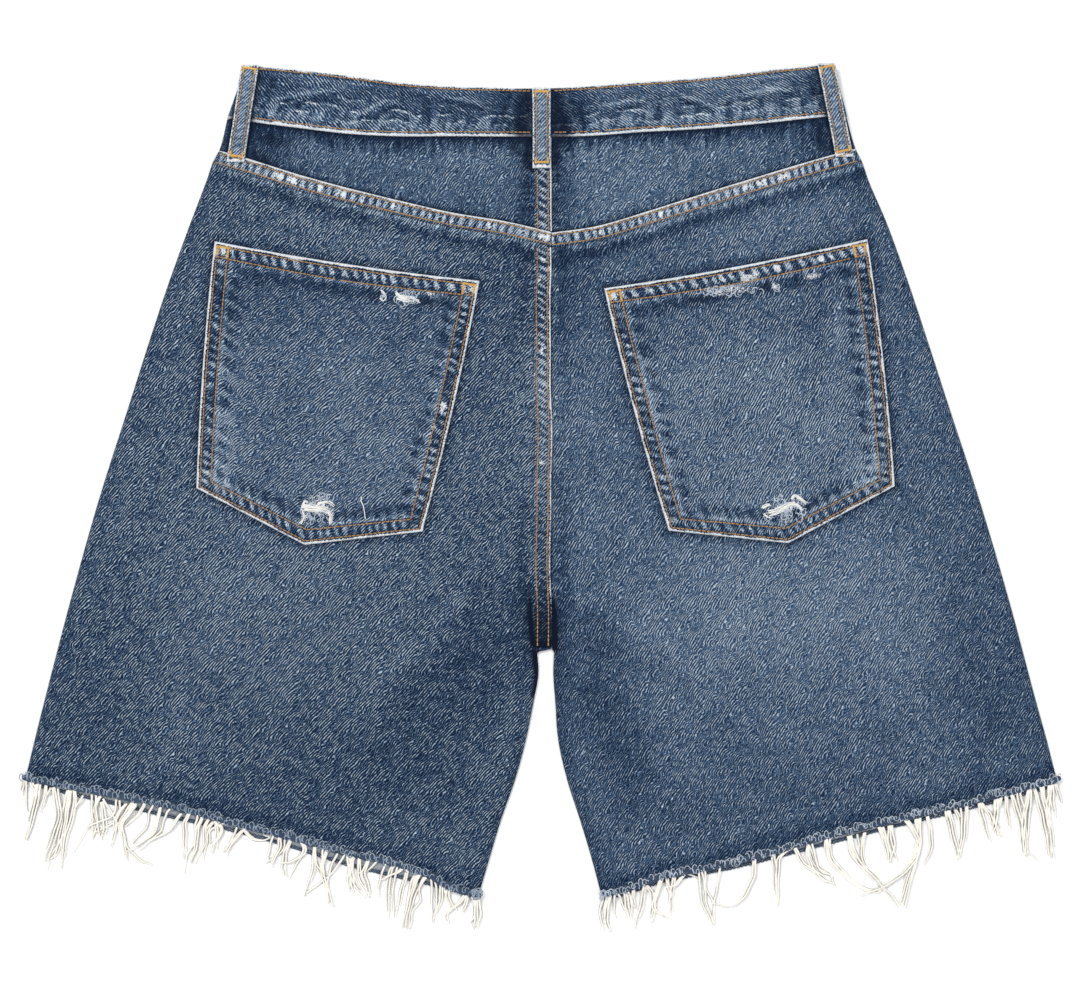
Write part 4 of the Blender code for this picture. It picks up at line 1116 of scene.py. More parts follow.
@dataclass
class YokeFell:
    """The folded edge of the leg that lies over the yoke seam, puckered between two rows of sewing."""

    side: Side
    tailor: Tailor
    finish: Material
    columns: int = 262

    def build(self) -> Object:
        """Makes the strip."""
        pattern, side = self.tailor.pattern, self.side
        seam = pattern.seam(side)
        across = spaced(YOKE_FELL, 0.8)
        side_top = pattern.yoke_end(side)
        seat_top = float(pattern.yoke(side, seam))
        line = pattern.yoke_bend(side, side_top)
        span = Span(
            side, across / YOKE_FELL, side_top - across, seat_top - across, np.full_like(across, seam),
            line, line, np.zeros_like(across),
        )
        over = FELL_RISE + (0.25 if side is Side.LEFT else 0.0)
        weave = span.weave(pattern, self.columns, np.arange(24.0, 9.4, -0.8), over)
        x = weave.x
        t = np.broadcast_to(across[:, None], x.shape)
        top = smooth((weave.z - 2.6) / 1.2)
        slant = 0.35 if side is Side.LEFT else -0.25
        gather = bars(Puckers(5.1, 1.0 + side.value).at(x + slant * t) + 0.22)
        first, second = YOKE_ROWS
        between = between_rows(t, first, second)
        sewn = groove(t, first) + groove(t, second)
        relief = 0.55 * (gather - 0.4) * between - 0.30 * sewn + 0.12 * gather * hill(t - YOKE_FELL, 1.5)
        edge = (1 - rounded(t, YOKE_FELL)) * 0.75
        weave.z += (relief - edge) * top
        between = between**0.3
        weave.fade = 0.24 + 0.72 * gather * between + 0.26 * (1 - between) + 0.05 * rough(x, t, 23, 0.7)
        weave.fade += 0.24 * hill(x - 112, 52) + 0.14 * hill(x + 160, 34) + 0.22 * hill(x + 16, 14)
        weave.white = bare_edge(t, x, 1.25, 0.6) + 0.33 * gather * between
        # Painted shade in the grooves of the two rows of sewing.
        weave.dark = 0.45 * hill(t - first - 0.1, 0.7) + 0.45 * hill(t - second, 0.8)
        for spot in FELL_SPOTS:
            weave.white += 0.75 * hill(x - spot.x, spot.width) * hill(t - 4.4, 2.0)
        weave.pull_y = 0.45 * between
        return self.tailor.sheet(f"yoke_fell_{side.word}", weave, self.finish, FELL_WALL)


class Spot(NamedTuple):
    """A spot on a seam that is worn white: x, how far across the seam, and width."""

    x: float
    across: float
    width: float


FELL_SPOTS = rows_of(
    Spot,
    (-170, 2.6, 2.6), (-161.5, 1.2, 2.2), (-144, 2.2, 1.8), (-129, 1.6, 2.0), (-96, 3.2, 1.2),
    (-34, 4.8, 1.0), (157, 1.4, 2.4), (143.5, 2.4, 2.2), (132.5, 2.8, 1.9), (77.5, 2.0, 1.7),
    (38, 4.0, 1.0), (1.8, 4.6, 4.4),
)


@dataclass
class SeatFell:
    """A stretch of the seat seam's folded edge, which lies over the right half."""

    name: str
    top: float
    bottom: float
    tailor: Tailor
    finish: Material
    step: float = 0.95

    def build(self) -> Object:
        """Makes the strip."""
        pattern = self.tailor.pattern
        count = int((self.top - self.bottom) / self.step) + 1
        down = np.linspace(self.top, self.bottom, count)[:, None]
        across = spaced(SEAT_FELL, 0.85)[None]
        y = down + 0 * across
        x = SEAT_X - SEAT_FELL + across + seat_lean(down, self.top)
        height = pattern.lift(np.full_like(y, SEAT_X), y)
        z = np.maximum(height, pattern.lift(x, y)) + CLOTH + FELL_RISE
        t = across + 0 * down
        gather = bars(Puckers(5.6, 2.6).at(y + 0.6 * t))
        first, second = SEAT_ROWS
        between = between_rows(t, first, second)
        sewn = groove(t, first) + groove(t, second)
        z = z + 0.5 * (gather - 0.4) * between - 0.30 * sewn - 0.75 * (1 - rounded(t, SEAT_FELL))
        weave = Weave(x, y, z, x.copy(), y.copy())
        worn = 0.35 + 0.65 * smooth((y + 30) / 110)
        between = between**0.3
        rubbed = gather * between * worn
        weave.fade = 0.15 + 0.74 * rubbed + 0.30 * (1 - between) + 0.05 * rough(x, y, 27, 1.7)
        weave.fade += 0.12 * hill(y - 84, 20) + 0.12 * hill(y - 8, 22)
        weave.fade += 0.20 * hill(y - 54, 54) * (1 - 0.7 * gather)
        # The fell grows darker towards the crotch as painted shade.
        weave.fade -= 0.20 * hill(y - 122, 17) + 0.24 * smooth((-40 - y) / 45)
        weave.white = bare_edge(SEAT_FELL - t, y, 1.0, 1.4) * (0.45 + 0.55 * worn)
        weave.white += 0.27 * rubbed
        for spot in SEAT_SPOTS:
            weave.white += 0.66 * hill(y - spot.x, spot.width) * hill(t - spot.across, 1.3)
        # Painted shade towards the crotch and in the grooves of the two rows of sewing, where the worn white
        # fades too.
        weave.dark = 0.76 * smooth((-54 - y) / 34) + 0.30 * smooth((-90.5 - y) / 5)
        weave.dark += 0.45 * (hill(t - first, 0.7) + hill(t - second, 0.7))
        weave.white = weave.white * (1 - 0.75 * smooth((-60 - y) / 30))
        weave.pull_x = 0.5 * between
        return self.tailor.sheet(self.name, weave, self.finish, FELL_WALL)


SEAT_SPOTS = rows_of(
    Spot,
    (154, 6.0, 2.0), (148, 9.6, 1.6), (141, 3.2, 1.8), (118, 10.6, 2.2), (96, 5.4, 1.6), (60, 10.4, 2.6),
    (22, 4.4, 1.4),
)


class BandSpot(NamedTuple):
    """A column of the waistband: which fold it is measured from, how far in, its height, and its face."""

    side: Side
    inward: float
    z: float
    front: bool


@dataclass
class Waistband:
    """The waistband, one strip laid round the waist and open at the front."""

    tailor: Tailor
    finish: Material
    back_step: float = 1.25
    front_step: float = 3.0
    wall: float = 2.1

    def columns(self) -> list[BandSpot]:
        """The columns from the front opening, round both folds, back to the opening."""
        pattern = self.tailor.pattern
        half = BAND_CLOTH + BAND_GAP / 2
        reach = {side: pattern.waist(side) for side in Side}
        fronts = {}
        for side in Side:
            centre = reach[side] + side.value * FRONT_X + SEAM_GAP / 2
            places = self.front_places(centre, half)
            run = [BandSpot(side, place, self.front_height(side, place), True) for place in places]
            for angle in np.linspace(160, 20, 9):
                turn = math.radians(angle)
                inward = half - half * math.sin(turn)
                run.append(BandSpot(side, inward, half + half * math.cos(turn), False))
            fronts[side] = run
        width = reach[Side.LEFT] + reach[Side.RIGHT]
        count = int((width - 2 * half) / self.back_step)
        over = []
        for distance in np.linspace(half, width - half, count + 1).tolist():
            near = Side.LEFT if distance < width / 2 else Side.RIGHT
            inward = distance if near is Side.LEFT else width - distance
            over.append(BandSpot(near, inward, 2 * half, False))
        return [*fronts[Side.LEFT], *over, *reversed(fronts[Side.RIGHT])]

    def front_places(self, centre: float, half: float) -> list[float]:
        """Distances in from a side fold on the front, from the opening out."""
        count = int((centre - half) / self.front_step)
        return np.linspace(centre, half, count + 1).tolist()

    def front_height(self, side: Side, inward: float) -> float:
        """Height of the front's face, which gives way to a belt loop."""
        reach = self.tailor.pattern.waist(side)
        off_loop = abs(reach - inward - FRONT_LOOP_X)
        return 1.3 if off_loop < FRONT_LOOP_W / 2 + 0.5 else 0.0

    def place(self, spot: BandSpot, share: Array) -> tuple[Array, Array]:
        """x and y of a column at shares of the way down."""
        pattern = self.tailor.pattern
        fold = pattern.fold[spot.side]
        across = 1 - spot.inward / pattern.waist(spot.side)
        top_x, bottom_x = fold(BAND_TOP_Y) * across, fold(BAND_LOW_Y) * across
        dip = FRONT_DIP * (1 - across * across) if spot.front else 0.0
        y = mix(pattern.waist_top(top_x), pattern.waist_bottom(bottom_x), share) - dip
        return mix(top_x, bottom_x, share), y

    def build(self) -> Object:
        """Makes the strip with its creases, wear and painted shade."""
        share = spaced(BAND_W, 1.15) / BAND_W
        spots = self.columns()
        places = [self.place(spot, share) for spot in spots]
        x = np.stack([place[0] + 0 * share for place in places], 1)
        y = np.stack([place[1] + 0 * share for place in places], 1)
        height = np.array([spot.z for spot in spots])[None]
        t = share[:, None] * BAND_W + 0 * x
        steps = np.hypot(np.diff(x[14]), np.diff(height[0]))
        u = np.concatenate([[0.0], np.cumsum(steps)]) + 0 * x
        back = smooth((height - BAND_BACK_Z) / 2.0)
        under = smooth((2.0 - height) / 1.5)
        gather = bars(Puckers(5.3, 0.3).at(u + 0.4 * t))
        ends = (groove(t, 1.7, 1.1) + groove(t, 32.1, 1.1)) * 0.32
        lip = 0.25 * gather * (hill(t - 33.8, 1.4) + 0.7 * hill(t, 1.4))
        edge = 0.8 * (1 - rounded(t, BAND_W, 1.4))
        bumps = self.creases(x, y) + 0.16 * rough(x, y, 21, 0.6) + 0.22 * gather * hill(t - 28.5, 4.0)
        z = height + (bumps - ends + lip - edge) * back + (ends + edge) * under
        off_button = np.hypot(x - BUTTON_X, y - BUTTON_Y)
        z = z + 1.1 * smooth((BUTTON_R + 1.6 - off_button) / 1.2) * under
        z = np.maximum(z, 0.15 * under)
        weave = Weave(x, y, z, u, -t)
        swell = bars(Puckers(11.5, 1.9).at(u)) - 0.5
        weave.fade = 0.53 + 0.06 * rough(u, t, 40, 2.0) + 0.38 * swell * hill(t - 25.5, 4.0) * back
        paint(weave, BAND_PATCHES)
        low = smooth((t - 19.0) / 8.0) * back
        weave.fade += 0.17 * low - 0.04 + 0.24 * (gather - 0.5) * hill(t - 27.0, 4.2)
        weave.fade += 0.12 * hill(t - 4.2, 1.6) - 0.18 * (hill(t - 1.7, 1.2) + hill(t - 32.1, 1.6))
        worn = hill(t - 22.0, 11.0) * back
        weave.fade += (0.42 * web(u, t, 0.7) - 0.34 * web(u, t + 2.0, 0.7) - 0.03) * worn
        # Creases: paler where their ridges wear, with painted shade in their troughs.
        for row in BAND_CREASES:
            share_of = crease(x, y, row)
            weave.fade += (3.0 if row.fade > 0 else 2.2) * row.fade * share_of
            weave.darken(1.4 * row.dark * share_of)
        weave.white = bare_edge(BAND_W - t, x, 1.75, 0.4) * back + 0.78 * bare_edge(t, x, 1.0, 2.0)
        weave.white += 0.46 * web(u, t, 0.7) * worn
        # Painted shade beside the centre belt loop and the other loops.
        weave.darken(0.9 * hill(np.abs(x - 0.1) - 9.0, 5.6) * back)
        weave.fade -= (0.22 * hill(np.abs(x) - 18.0, 9.0) + 0.13 * hill(np.abs(x) - 24.0, 14.0)) * back
        for loop in LOOPS:
            weave.darken(loop.shade(x, y) * back)
        shade(weave, LOOP_SHADES, back)
        for spot in BAND_SPOTS:
            weave.white += 0.7 * hill(x - spot.x, spot.width) * hill(t - spot.across, 1.2) * back
        weave.pull_y = 0.35 * low + 0.7 * hill(t - 33.0, 3.0) + 0.5 * hill(t - 1.0, 2.5)
        weave.pull_x = 0.25 * (1 - low)
        made = self.tailor.sheet("band", weave, self.finish, self.wall, node="waistband")
        made.data.materials[1] = self.finish  # the band is double, with the right side out on both faces
        return made

    @staticmethod
    def creases(x: Array, y: Array) -> Array:
        """What the band's creases add to its height."""
        total = np.zeros_like(x)
        for row in BAND_CREASES:
            total = total + row.height * crease(x, y, row)
        return total


class BandCrease(NamedTuple):
    """A crease in the waistband: its middle, turn, length, width, height, and its fade and dark: worn paler
    on ridges, painted shade in troughs.
    """

    x: float
    y: float
    turn: float
    length: float
    width: float
    height: float
    fade: float
    dark: float


# Rows below nought in the fade, and the dark column, are painted shade in the creases' troughs.
BAND_CREASES = rows_of(
    BandCrease,
    (-13.5, 252, 86, 34, 2.2, -0.8, -0.10, 0.55), (-20.5, 250, 82, 30, 2.6, 0.4, 0.10, 0.0),
    (-25.0, 247, 78, 26, 2.0, -0.5, -0.12, 0.30), (11.6, 250, 94, 32, 2.2, -0.8, -0.10, 0.50),
    (18.5, 250, 98, 30, 2.6, 0.4, 0.10, 0.0), (26.0, 247, 100, 28, 2.0, -0.5, -0.12, 0.28),
    (-157, 261, 10, 62, 1.05, 0.35, 0.17, 0.0), (-152, 257, 12, 60, 2.0, -0.35, -0.12, 0.12),
    (-110, 253, 28, 34, 1.05, 0.35, 0.17, 0.0), (-104, 249, 30, 34, 1.8, -0.35, -0.13, 0.14),
    (-50, 258, 172, 44, 1.05, 0.3, 0.15, 0.0), (-48, 254, 168, 40, 1.8, -0.3, -0.12, 0.10),
    (-176, 266, 80, 26, 2.2, -0.5, -0.10, 0.25), (-74, 250, 98, 26, 2.0, -0.45, -0.12, 0.20),
    (-132, 246, 95, 20, 1.8, -0.45, -0.12, 0.20), (50, 256, 12, 50, 1.05, 0.3, 0.13, 0.0),
    (54, 252, 14, 46, 1.9, -0.3, -0.10, 0.10), (98, 259, 160, 46, 1.05, 0.3, 0.14, 0.0),
    (102, 254, 162, 44, 1.9, -0.3, -0.10, 0.10), (146, 264, 8, 50, 1.05, 0.3, 0.14, 0.0),
    (150, 259, 9, 50, 2.0, -0.35, -0.11, 0.14), (76, 250, 84, 24, 2.0, -0.45, -0.12, 0.20),
    (122, 252, 97, 24, 1.8, -0.45, -0.12, 0.18), (176, 264, 98, 28, 2.2, -0.5, -0.12, 0.25),
)

# Soft marks on the band's fade; the dark ones beside the side belt loops are painted shade.
BAND_PATCHES = rows_of(
    Mark,
    (-90, 262, 176, 90, 9, -0.07), (-172, 266, 172, 50, 10, -0.10), (70, 262, 6, 90, 9, -0.04),
    (140, 262, 8, 120, 14, 0.10), (-36, 262, 175, 40, 8, -0.04), (-120, 263, 176, 190, 16, -0.06),
    (-64, 258, 178, 70, 8, -0.12), (-186, 274, 170, 40, 6, -0.16), (-164, 250, 170, 50, 6, 0.06),
    (-128, 264, 20, 40, 5, 0.10), (60, 250, 6, 90, 6, 0.08), (174, 270, 12, 50, 10, -0.16),
)

BAND_SPOTS = rows_of(
    Spot,
    (115, 33.6, 4.0), (79, 33.2, 4.6), (-66, 33.8, 3.0), (-120, 33.6, 3.4), (-172, 33.6, 2.4),
    (160, 33.8, 2.6), (24, 33.9, 2.0),
)


# Pockets and loops


# Marks of the pockets' holes: above nought worn white, below nought painted shade in and beside the holes.
WORN_AND_SHADE = {
    "pocket_left": rows_of(
        Mark,
        (-87.0, 128.6, -10, 26, 3.0, 0.62), (-102.6, 130.4, 60, 10, 2.2, 0.45),
        (-145.0, -6.8, -4, 30, 4.6, 0.72), (-137.0, -13.5, 85, 16, 2.6, 0.45),
        (-154.4, -13.5, 70, 16, 2.8, 0.42), (-145.5, 0.0, 0, 22, 1.6, 0.32),
        (-160.2, 155.6, -10, 16, 1.6, 1.0), (-64.0, 58.7, 80, 10, 1.6, 0.8),
        (-70.0, 45.0, 80, 8, 1.6, 0.8), (-72.5, 132.0, -8, 12, 2.0, 0.5),
        (-108.5, 130.0, 0, 9, 3.0, -0.6), (-74.0, 127.0, -8, 15, 2.4, -0.6),
        (-156.6, -0.6, 90, 7, 1.5, -0.8), (-145.4, -10.9, 0, 14, 1.3, -0.5),
    ),
    "pocket_right": rows_of(
        Mark,
        (156.0, -7.6, 14, 34, 3.4, 0.70), (166.5, -0.8, -30, 16, 2.6, 0.50),
        (160.0, -14.6, 6, 20, 3.0, 0.42), (121.0, 134.5, 8, 62, 3.6, 0.55),
        (134.0, 142.3, 12, 16, 1.8, 1.0), (151.6, 137.2, 100, 8, 2.4, 0.75),
        (176.0, 143.5, 12, 20, 2.2, 0.6), (153.4, 149.0, 100, 6, 1.8, 0.8),
        (116.0, 142.4, 100, 6, 1.6, 0.7), (88.4, 140.6, 100, 5, 1.5, 0.6),
        (181.0, 154.5, 100, 6, 2.0, 0.8), (71.8, 134.0, 95, 5, 1.4, 0.6), (58.0, 30.0, 104, 26, 1.6, 0.7),
        (172.8, -6.0, 60, 13, 2.8, -0.6), (165.5, -12.4, 10, 12, 2.4, -0.6),
        (143.0, -12.6, 90, 7, 1.4, -0.7), (104.0, 128.4, 8, 36, 2.2, -0.6),
        (145.8, 135.4, 20, 10, 2.6, -0.7),
    ),
}


class Strand(NamedTuple):
    """A bundle of loose weft in a pocket's worn place: its threads, its spread at each end, and its path."""

    threads: int
    start: float
    end: float
    path: tuple[tuple[float, float], ...]


STRANDS = (
    Strand(3, 2.2, 1.2, ((-94.6, 133.4), (-92.6, 130.8), (-88.7, 129.5), (-84.2, 129.4), (-78.6, 126.4))),
    Strand(2, 1.4, 1.0, ((-93.9, 128.7), (-89.4, 127.6), (-84.8, 127.7))),
    Strand(2, 1.0, 0.4, ((-104.3, 134.4), (-102.4, 132.6), (-101.1, 130.4))),
    Strand(1, 0.0, 0.0, ((-105.0, 129.2), (-103.0, 127.7), (-101.1, 128.7), (-100.4, 130.2))),
    Strand(6, 4.8, 3.4, ((-155.9, -6.4), (-150.5, -7.2), (-144.0, -7.4), (-137.4, -8.6))),
    Strand(3, 1.0, 2.4, ((-146.6, -5.4), (-142.7, -3.6), (-138.1, -3.0), (-134.0, -5.4))),
    Strand(2, 1.2, 0.6, ((-155.0, -4.6), (-153.4, -2.6), (-151.1, -3.7))),
    Strand(2, 1.4, 0.8, ((-155.0, -8.8), (-153.9, -12.0), (-151.1, -12.8))),
    Strand(2, 1.6, 0.8, ((-156.6, -17.0), (-154.6, -14.4), (-151.8, -11.2))),
    Strand(3, 1.4, 2.4, ((-139.2, -9.4), (-136.8, -11.8), (-136.9, -14.8), (-136.2, -17.6))),
    Strand(1, 0.0, 0.0, ((-116.7, 0.2), (-117.3, -2.4), (-116.0, -5.0), (-115.1, -8.3), (-114.1, -14.1))),
    Strand(5, 4.2, 1.6, (
        (147.2, -10.4), (151.8, -9.4), (156.3, -7.4), (161.0, -4.6), (165.6, -5.2), (170.6, -9.4),
    )),
    Strand(3, 1.2, 2.2, ((142.7, -7.2), (145.9, -5.2), (149.4, -4.6))),
    Strand(2, 1.2, 0.8, ((144.4, -10.4), (145.9, -12.6), (148.5, -13.5))),
    Strand(3, 1.2, 2.2, ((161.5, -2.0), (164.3, 1.2), (167.4, -0.4), (171.9, -4.2))),
)


class Tufts(NamedTuple):
    """A patch of broken warp: its middle, half length, half width and how many little curls it has."""

    x: float
    y: float
    length: float
    width: float
    count: int


TUFTS = rows_of(
    Tufts,
    (-86.5, 129.8, 9.0, 3.6, 26), (-91.0, 124.6, 2.6, 1.6, 6), (-102.8, 130.6, 2.8, 3.6, 9),
    (-144.5, -0.2, 8.5, 1.5, 16), (-145.4, -13.6, 8.0, 3.2, 26), (-154.6, -12.4, 2.4, 4.2, 8),
    (155.4, -1.2, 6.0, 2.6, 18), (160.4, -12.6, 8.0, 3.4, 26), (168.6, -6.8, 3.6, 3.4, 12),
    (148.0, -14.0, 4.0, 2.0, 8), (120.5, 133.6, 24.0, 1.7, 44), (151.6, 136.8, 2.4, 3.2, 9),
)


@dataclass
class Fraying:
    """The loose weft and the tufts of broken warp in the pockets' holes."""

    tailor: Tailor
    ground: BVHTree
    white: Material
    blue: Material

    def build(self) -> None:
        """Lays the threads of every hole."""
        for side in Side:
            weft = Sewing(f"hole_weft_{side.word}", self.tailor, self.white, 0.43, ground=self.ground)
            tufts = Sewing(f"hole_tufts_{side.word}", self.tailor, self.blue, 0.40, 0, ground=self.ground)
            dice = random.Random(f"holes {side.word}")
            for strand in STRANDS:
                if strand.path[0][0] * side.value > 0:
                    self.strand(strand, weft, dice)
            for patch in TUFTS:
                if patch.x * side.value > 0:
                    self.tufts(patch, tufts, dice)
            weft.finished("frayed_yarn")
            tufts.finished("frayed_yarn")

    def strand(self, strand: Strand, weft: Sewing, dice: random.Random) -> None:
        """Lays a bundle of weft, its threads a little apart."""
        line = flowing(strand.path, 5)
        share = np.linspace(0, 1, len(line))
        spread = mix(strand.start, strand.end, share)
        away = np.gradient(line, axis=0)
        away = away[:, ::-1] / np.hypot(*away.T)[:, None] * (-1, 1)
        for k in range(strand.threads):
            level = (k + 0.5) / strand.threads - 0.5
            wave = 0.25 * np.sin(share * dice.uniform(3, 7) + dice.uniform(0, 6))
            path = line + away * (level * spread + wave)[:, None]
            first = dice.randrange(3) if strand.threads > 2 else 0
            self.lay(weft, path[first : len(path) - dice.randrange(3)], 0.14 + 0.22 * (k % 2), 0.7)

    def tufts(self, patch: Tufts, yarn: Sewing, dice: random.Random) -> None:
        """Lays the little curls of broken warp in a patch."""
        for _ in range(patch.count // 2):
            around, reach = dice.uniform(0, 2 * math.pi), math.sqrt(dice.random())
            x = patch.x + reach * patch.length * math.cos(around)
            y = patch.y + reach * patch.width * math.sin(around)
            start, sweep, size = dice.uniform(0, 6.3), dice.uniform(2.2, 4.0), dice.uniform(1.2, 2.1)
            turn = start + sweep * np.linspace(0, 1, 6)
            curl = np.stack([x + size * np.cos(turn), y + 1.2 * size * np.sin(turn)], 1)
            self.lay(yarn, curl, 0.15 + 0.35 * dice.random(), 0.7)

    @staticmethod
    def lay(yarn: Sewing, path: Array, above: float, taper: float) -> None:
        """Lays a thread on the cloth along a path."""
        drops = [yarn.drop(float(x), float(y)) for x, y in path]
        if None not in drops:
            yarn.add(np.array(drops) + np.array([0, 0, above]), taper)


POCKET_PATCHES = {
    "pocket_left": rows_of(
        Mark,
        (-120, 100, 172, 140, 30, 0.05), (-170, 60, 84, 130, 22, -0.03), (-110, 20, 176, 90, 24, 0.04),
        (-86, 70, 100, 100, 16, -0.05), (-150, 132, -8, 120, 8, -0.05), (-204, 62, 88, 130, 4.5, 0.13),
        (-205, 34, 90, 80, 6.0, 0.20), (-213, 12, -28, 40, 9.0, 0.34), (-72.5, 70, 82, 130, 4.0, 0.11),
    ),
    "pocket_right": rows_of(
        Mark,
        (128, 90, 10, 150, 32, 0.06), (96, 30, 80, 120, 20, -0.02), (170, 40, 100, 120, 22, 0.02),
        (184, 96, 96, 120, 18, -0.08), (140, 8, 8, 80, 20, 0.04), (120, 130, 10, 120, 8, -0.05),
        (72, 63, 108, 130, 4.5, 0.16), (188, 70, 86, 120, 4.0, 0.06), (193, 112, 86, 60, 5.5, 0.14),
        (213, 15, 30, 46, 10.0, 0.34), (86, -8, 118, 50, 5.0, 0.12),
    ),
}


@dataclass
class BackPocket:
    """A patch pocket: turned edges, a sewn hem, and a body that follows the panel under it."""

    row: PocketRow
    tailor: Tailor
    finish: Material
    step: float = 1.3
    rise: float = 0.6
    stitch_rows: tuple[float, float] = (2.6, 9.5)

    def edge(self, across: Array, down: Array) -> tuple[Array, Array, Array]:
        """How far a point lies in from the sides, under the top edge, and over the lower edges, in mm."""
        part = np.clip(down * 1.05, 0, 1)
        half = mix(POCKET_TOP, POCKET_BOTTOM, part) / 2
        inward = (1 - np.abs(across)) * half
        length = pocket_length(self.row, across)
        return inward, down * length, (1 - down) * length * 0.955

    def build(self) -> Object:
        """Makes the pocket with its creases, wear and painted shade."""
        pattern, row = self.tailor.pattern, self.row
        across = 2 * spaced(POCKET_BOTTOM, self.step)[None] / POCKET_BOTTOM - 1
        down = spaced(POCKET_SIDE + POCKET_POINT / 2, self.step)[:, None] / (POCKET_SIDE + POCKET_POINT / 2)
        across, down = across + 0 * down, down + 0 * across
        x, y = pocket_place(row, across, down)
        inward, drop, up = self.edge(across, down)
        turn = math.radians(-row.turn)
        u = (x - row.x) * math.cos(turn) - (y - row.y) * math.sin(turn)
        v = (x - row.x) * math.sin(turn) + (y - row.y) * math.cos(turn)
        seed = row.x * 0.01
        on_top = smooth((POCKET_HEM + 0.9 - drop) / 1.8)
        on_side = smooth((POCKET_TURNING + 0.7 - inward) / 1.8)
        on_low = smooth((POCKET_TURNING + 0.7 - up) / 1.8)
        border = np.maximum(np.maximum(on_top, on_side), on_low)
        vary = smooth(0.5 + 1.1 * rough(u, v, 37, seed + 3))
        gathers = (
            bars(Puckers(7.1, seed).at(u + 0.4 * v)) * on_top,
            bars(Puckers(6.6, seed + 1.3).at(v + 0.3 * u)) * on_side * (1 - on_top) * (0.35 + 0.65 * vary),
            bars(Puckers(5.9, seed + 2.1).at(u + 0.3 * v)) * on_low * (1 - on_side) * (0.65 + 0.35 * vary),
        )
        sewn = np.zeros_like(x)
        gather = np.zeros_like(x)
        for wave, depth in zip(gathers, (drop, inward, up)):
            gather = gather + wave * np.sqrt(between_rows(depth, *self.stitch_rows))
            for row_in in self.stitch_rows:
                sewn = np.maximum(sewn, groove(depth, row_in) * border)
        outermost = np.minimum(np.minimum(drop, inward), up)
        rim = 1 - dome(outermost, 1.2)
        base = pattern.lift(x, y) + CLOTH + SEAM_GAP + 0.1 + CLOTH
        body = 0.20 * rough(x, y, 38, seed) + 0.12 * rough(x, y, 17, seed + 1)
        z = base + self.rise * border + 0.5 * (gather - 0.4 * border) - 0.30 * sewn - 0.8 * rim
        z = z + body * (1 - border) * smooth(outermost / 22)
        z = z - 0.35 * hill(drop - POCKET_HEM - 0.4, 0.8) * (1 - on_side)
        weave = Weave(x, y, z, u, v)
        weave.fade = (0.54 if row.x < 0 else 0.595) + 0.03 * rough(x, y, 44, seed)
        paint(weave, POCKET_PATCHES[row.name])
        inner = np.minimum(np.minimum(inward, up) - POCKET_TURNING, drop - POCKET_HEM)
        past = POCKET_TURNING + 5.8
        ring = np.maximum(0.20 * hill(inward - past, 4.2), 0.30 * hill(up - past, 4.2))
        ring = np.maximum(ring, 0.36 * hill(drop - POCKET_HEM - 5.5, 5.0))
        weave.fade -= ring * (inner > 0) + 0.12 * hill(drop - 36, 20)
        weave.fade += 0.22 * hill(inner - 0.9, 1.7) * (inner > 0)
        weave.fade += 0.80 * gather - 0.38 * border
        blotch = bars(Puckers(11.5, seed + 0.7).at(v + 0.4 * u)) - 0.45
        weave.fade += 0.34 * blotch * hill(inward - POCKET_TURNING - 5.5, 5.0) * (1 - border)
        combed = bars(Puckers(7.3, seed + 2.1).at(u + 0.2 * v)) - 0.4
        weave.fade += 0.34 * combed * hill(up - POCKET_TURNING - 3.5, 5.0) * (1 - border)
        weave.pull_x = 0.30 * on_side + 0.7 * hill(np.minimum(inward, up) - POCKET_TURNING - 2.0, 5.0)
        weave.pull_y = 0.30 * on_top + 0.9 * hill(drop - POCKET_HEM - 2.0, 5.0)
        ragged = 0.5 + 0.5 * rough(u, v, 23, seed + 4)
        weave.white = np.maximum(bare_edge(drop, u, 1.6, seed), 0.86 * bare_edge(inward, v, 1.5, seed + 1))
        weave.white = np.maximum(weave.white, 0.86 * bare_edge(up, u, 1.5, seed + 2))
        weave.white += 0.10 * ragged * on_top + 0.31 * gather
        corner = hill(inward - 5.5, 4.2) * hill(drop - 5.5, 4.2)
        weave.white += 0.42 * corner + 0.20 * hill(inward - 5.0, 5.0) * hill(up - 7.0, 6.0)
        # Painted shade in the grooves of the rows of sewing.
        weave.dark = 0.45 * sewn * (outermost > 1.4)
        # Marks above nought wear the cloth white; marks below nought are painted shade in and beside the
        # holes.
        for spot in WORN_AND_SHADE[row.name]:
            mark = spot.adds * crease(x, y, spot)
            weave.white += np.maximum(mark, 0)
            weave.darken(-mark)
        name = f"{row.name}_cloth"
        return self.tailor.sheet(name, weave, self.finish, 0.9, node=row.name, slot="denim_worn")


class LoopRow(NamedTuple):
    """A belt loop: the middles of its two ends, and its width."""

    name: str
    top_x: float
    top_y: float
    bottom_x: float
    bottom_y: float
    width: float

    def shade(self, x: Array, y: Array) -> Array:
        """How dark the cloth beside the loop is."""
        down = np.clip((self.top_y - y) / (self.top_y - self.bottom_y), -0.05, 1.04)
        middle = mix(self.top_x, self.bottom_x, down)
        below = np.maximum(self.bottom_y - 1.0 - y, 0)
        off = np.abs(x - middle) - self.width / 2
        return (0.55 * hill(off, 2.0) + 0.42 * hill(off, 5.2)) * hill(below, 2.0)


LOOP_SHADES = rows_of(
    Mark,
    (-12.5, 240, 88, 52, 7.0, 0.95), (13.5, 240, 92, 52, 7.5, 0.95), (-9.0, 222, 88, 36, 4.4, 0.95),
    (9.0, 222, 92, 36, 4.4, 0.95), (-181, 216, 150, 46, 8.0, 0.9), (-176, 232, 172, 44, 4.5, 0.6),
    (182, 232, 104, 36, 4.5, 0.7),
)

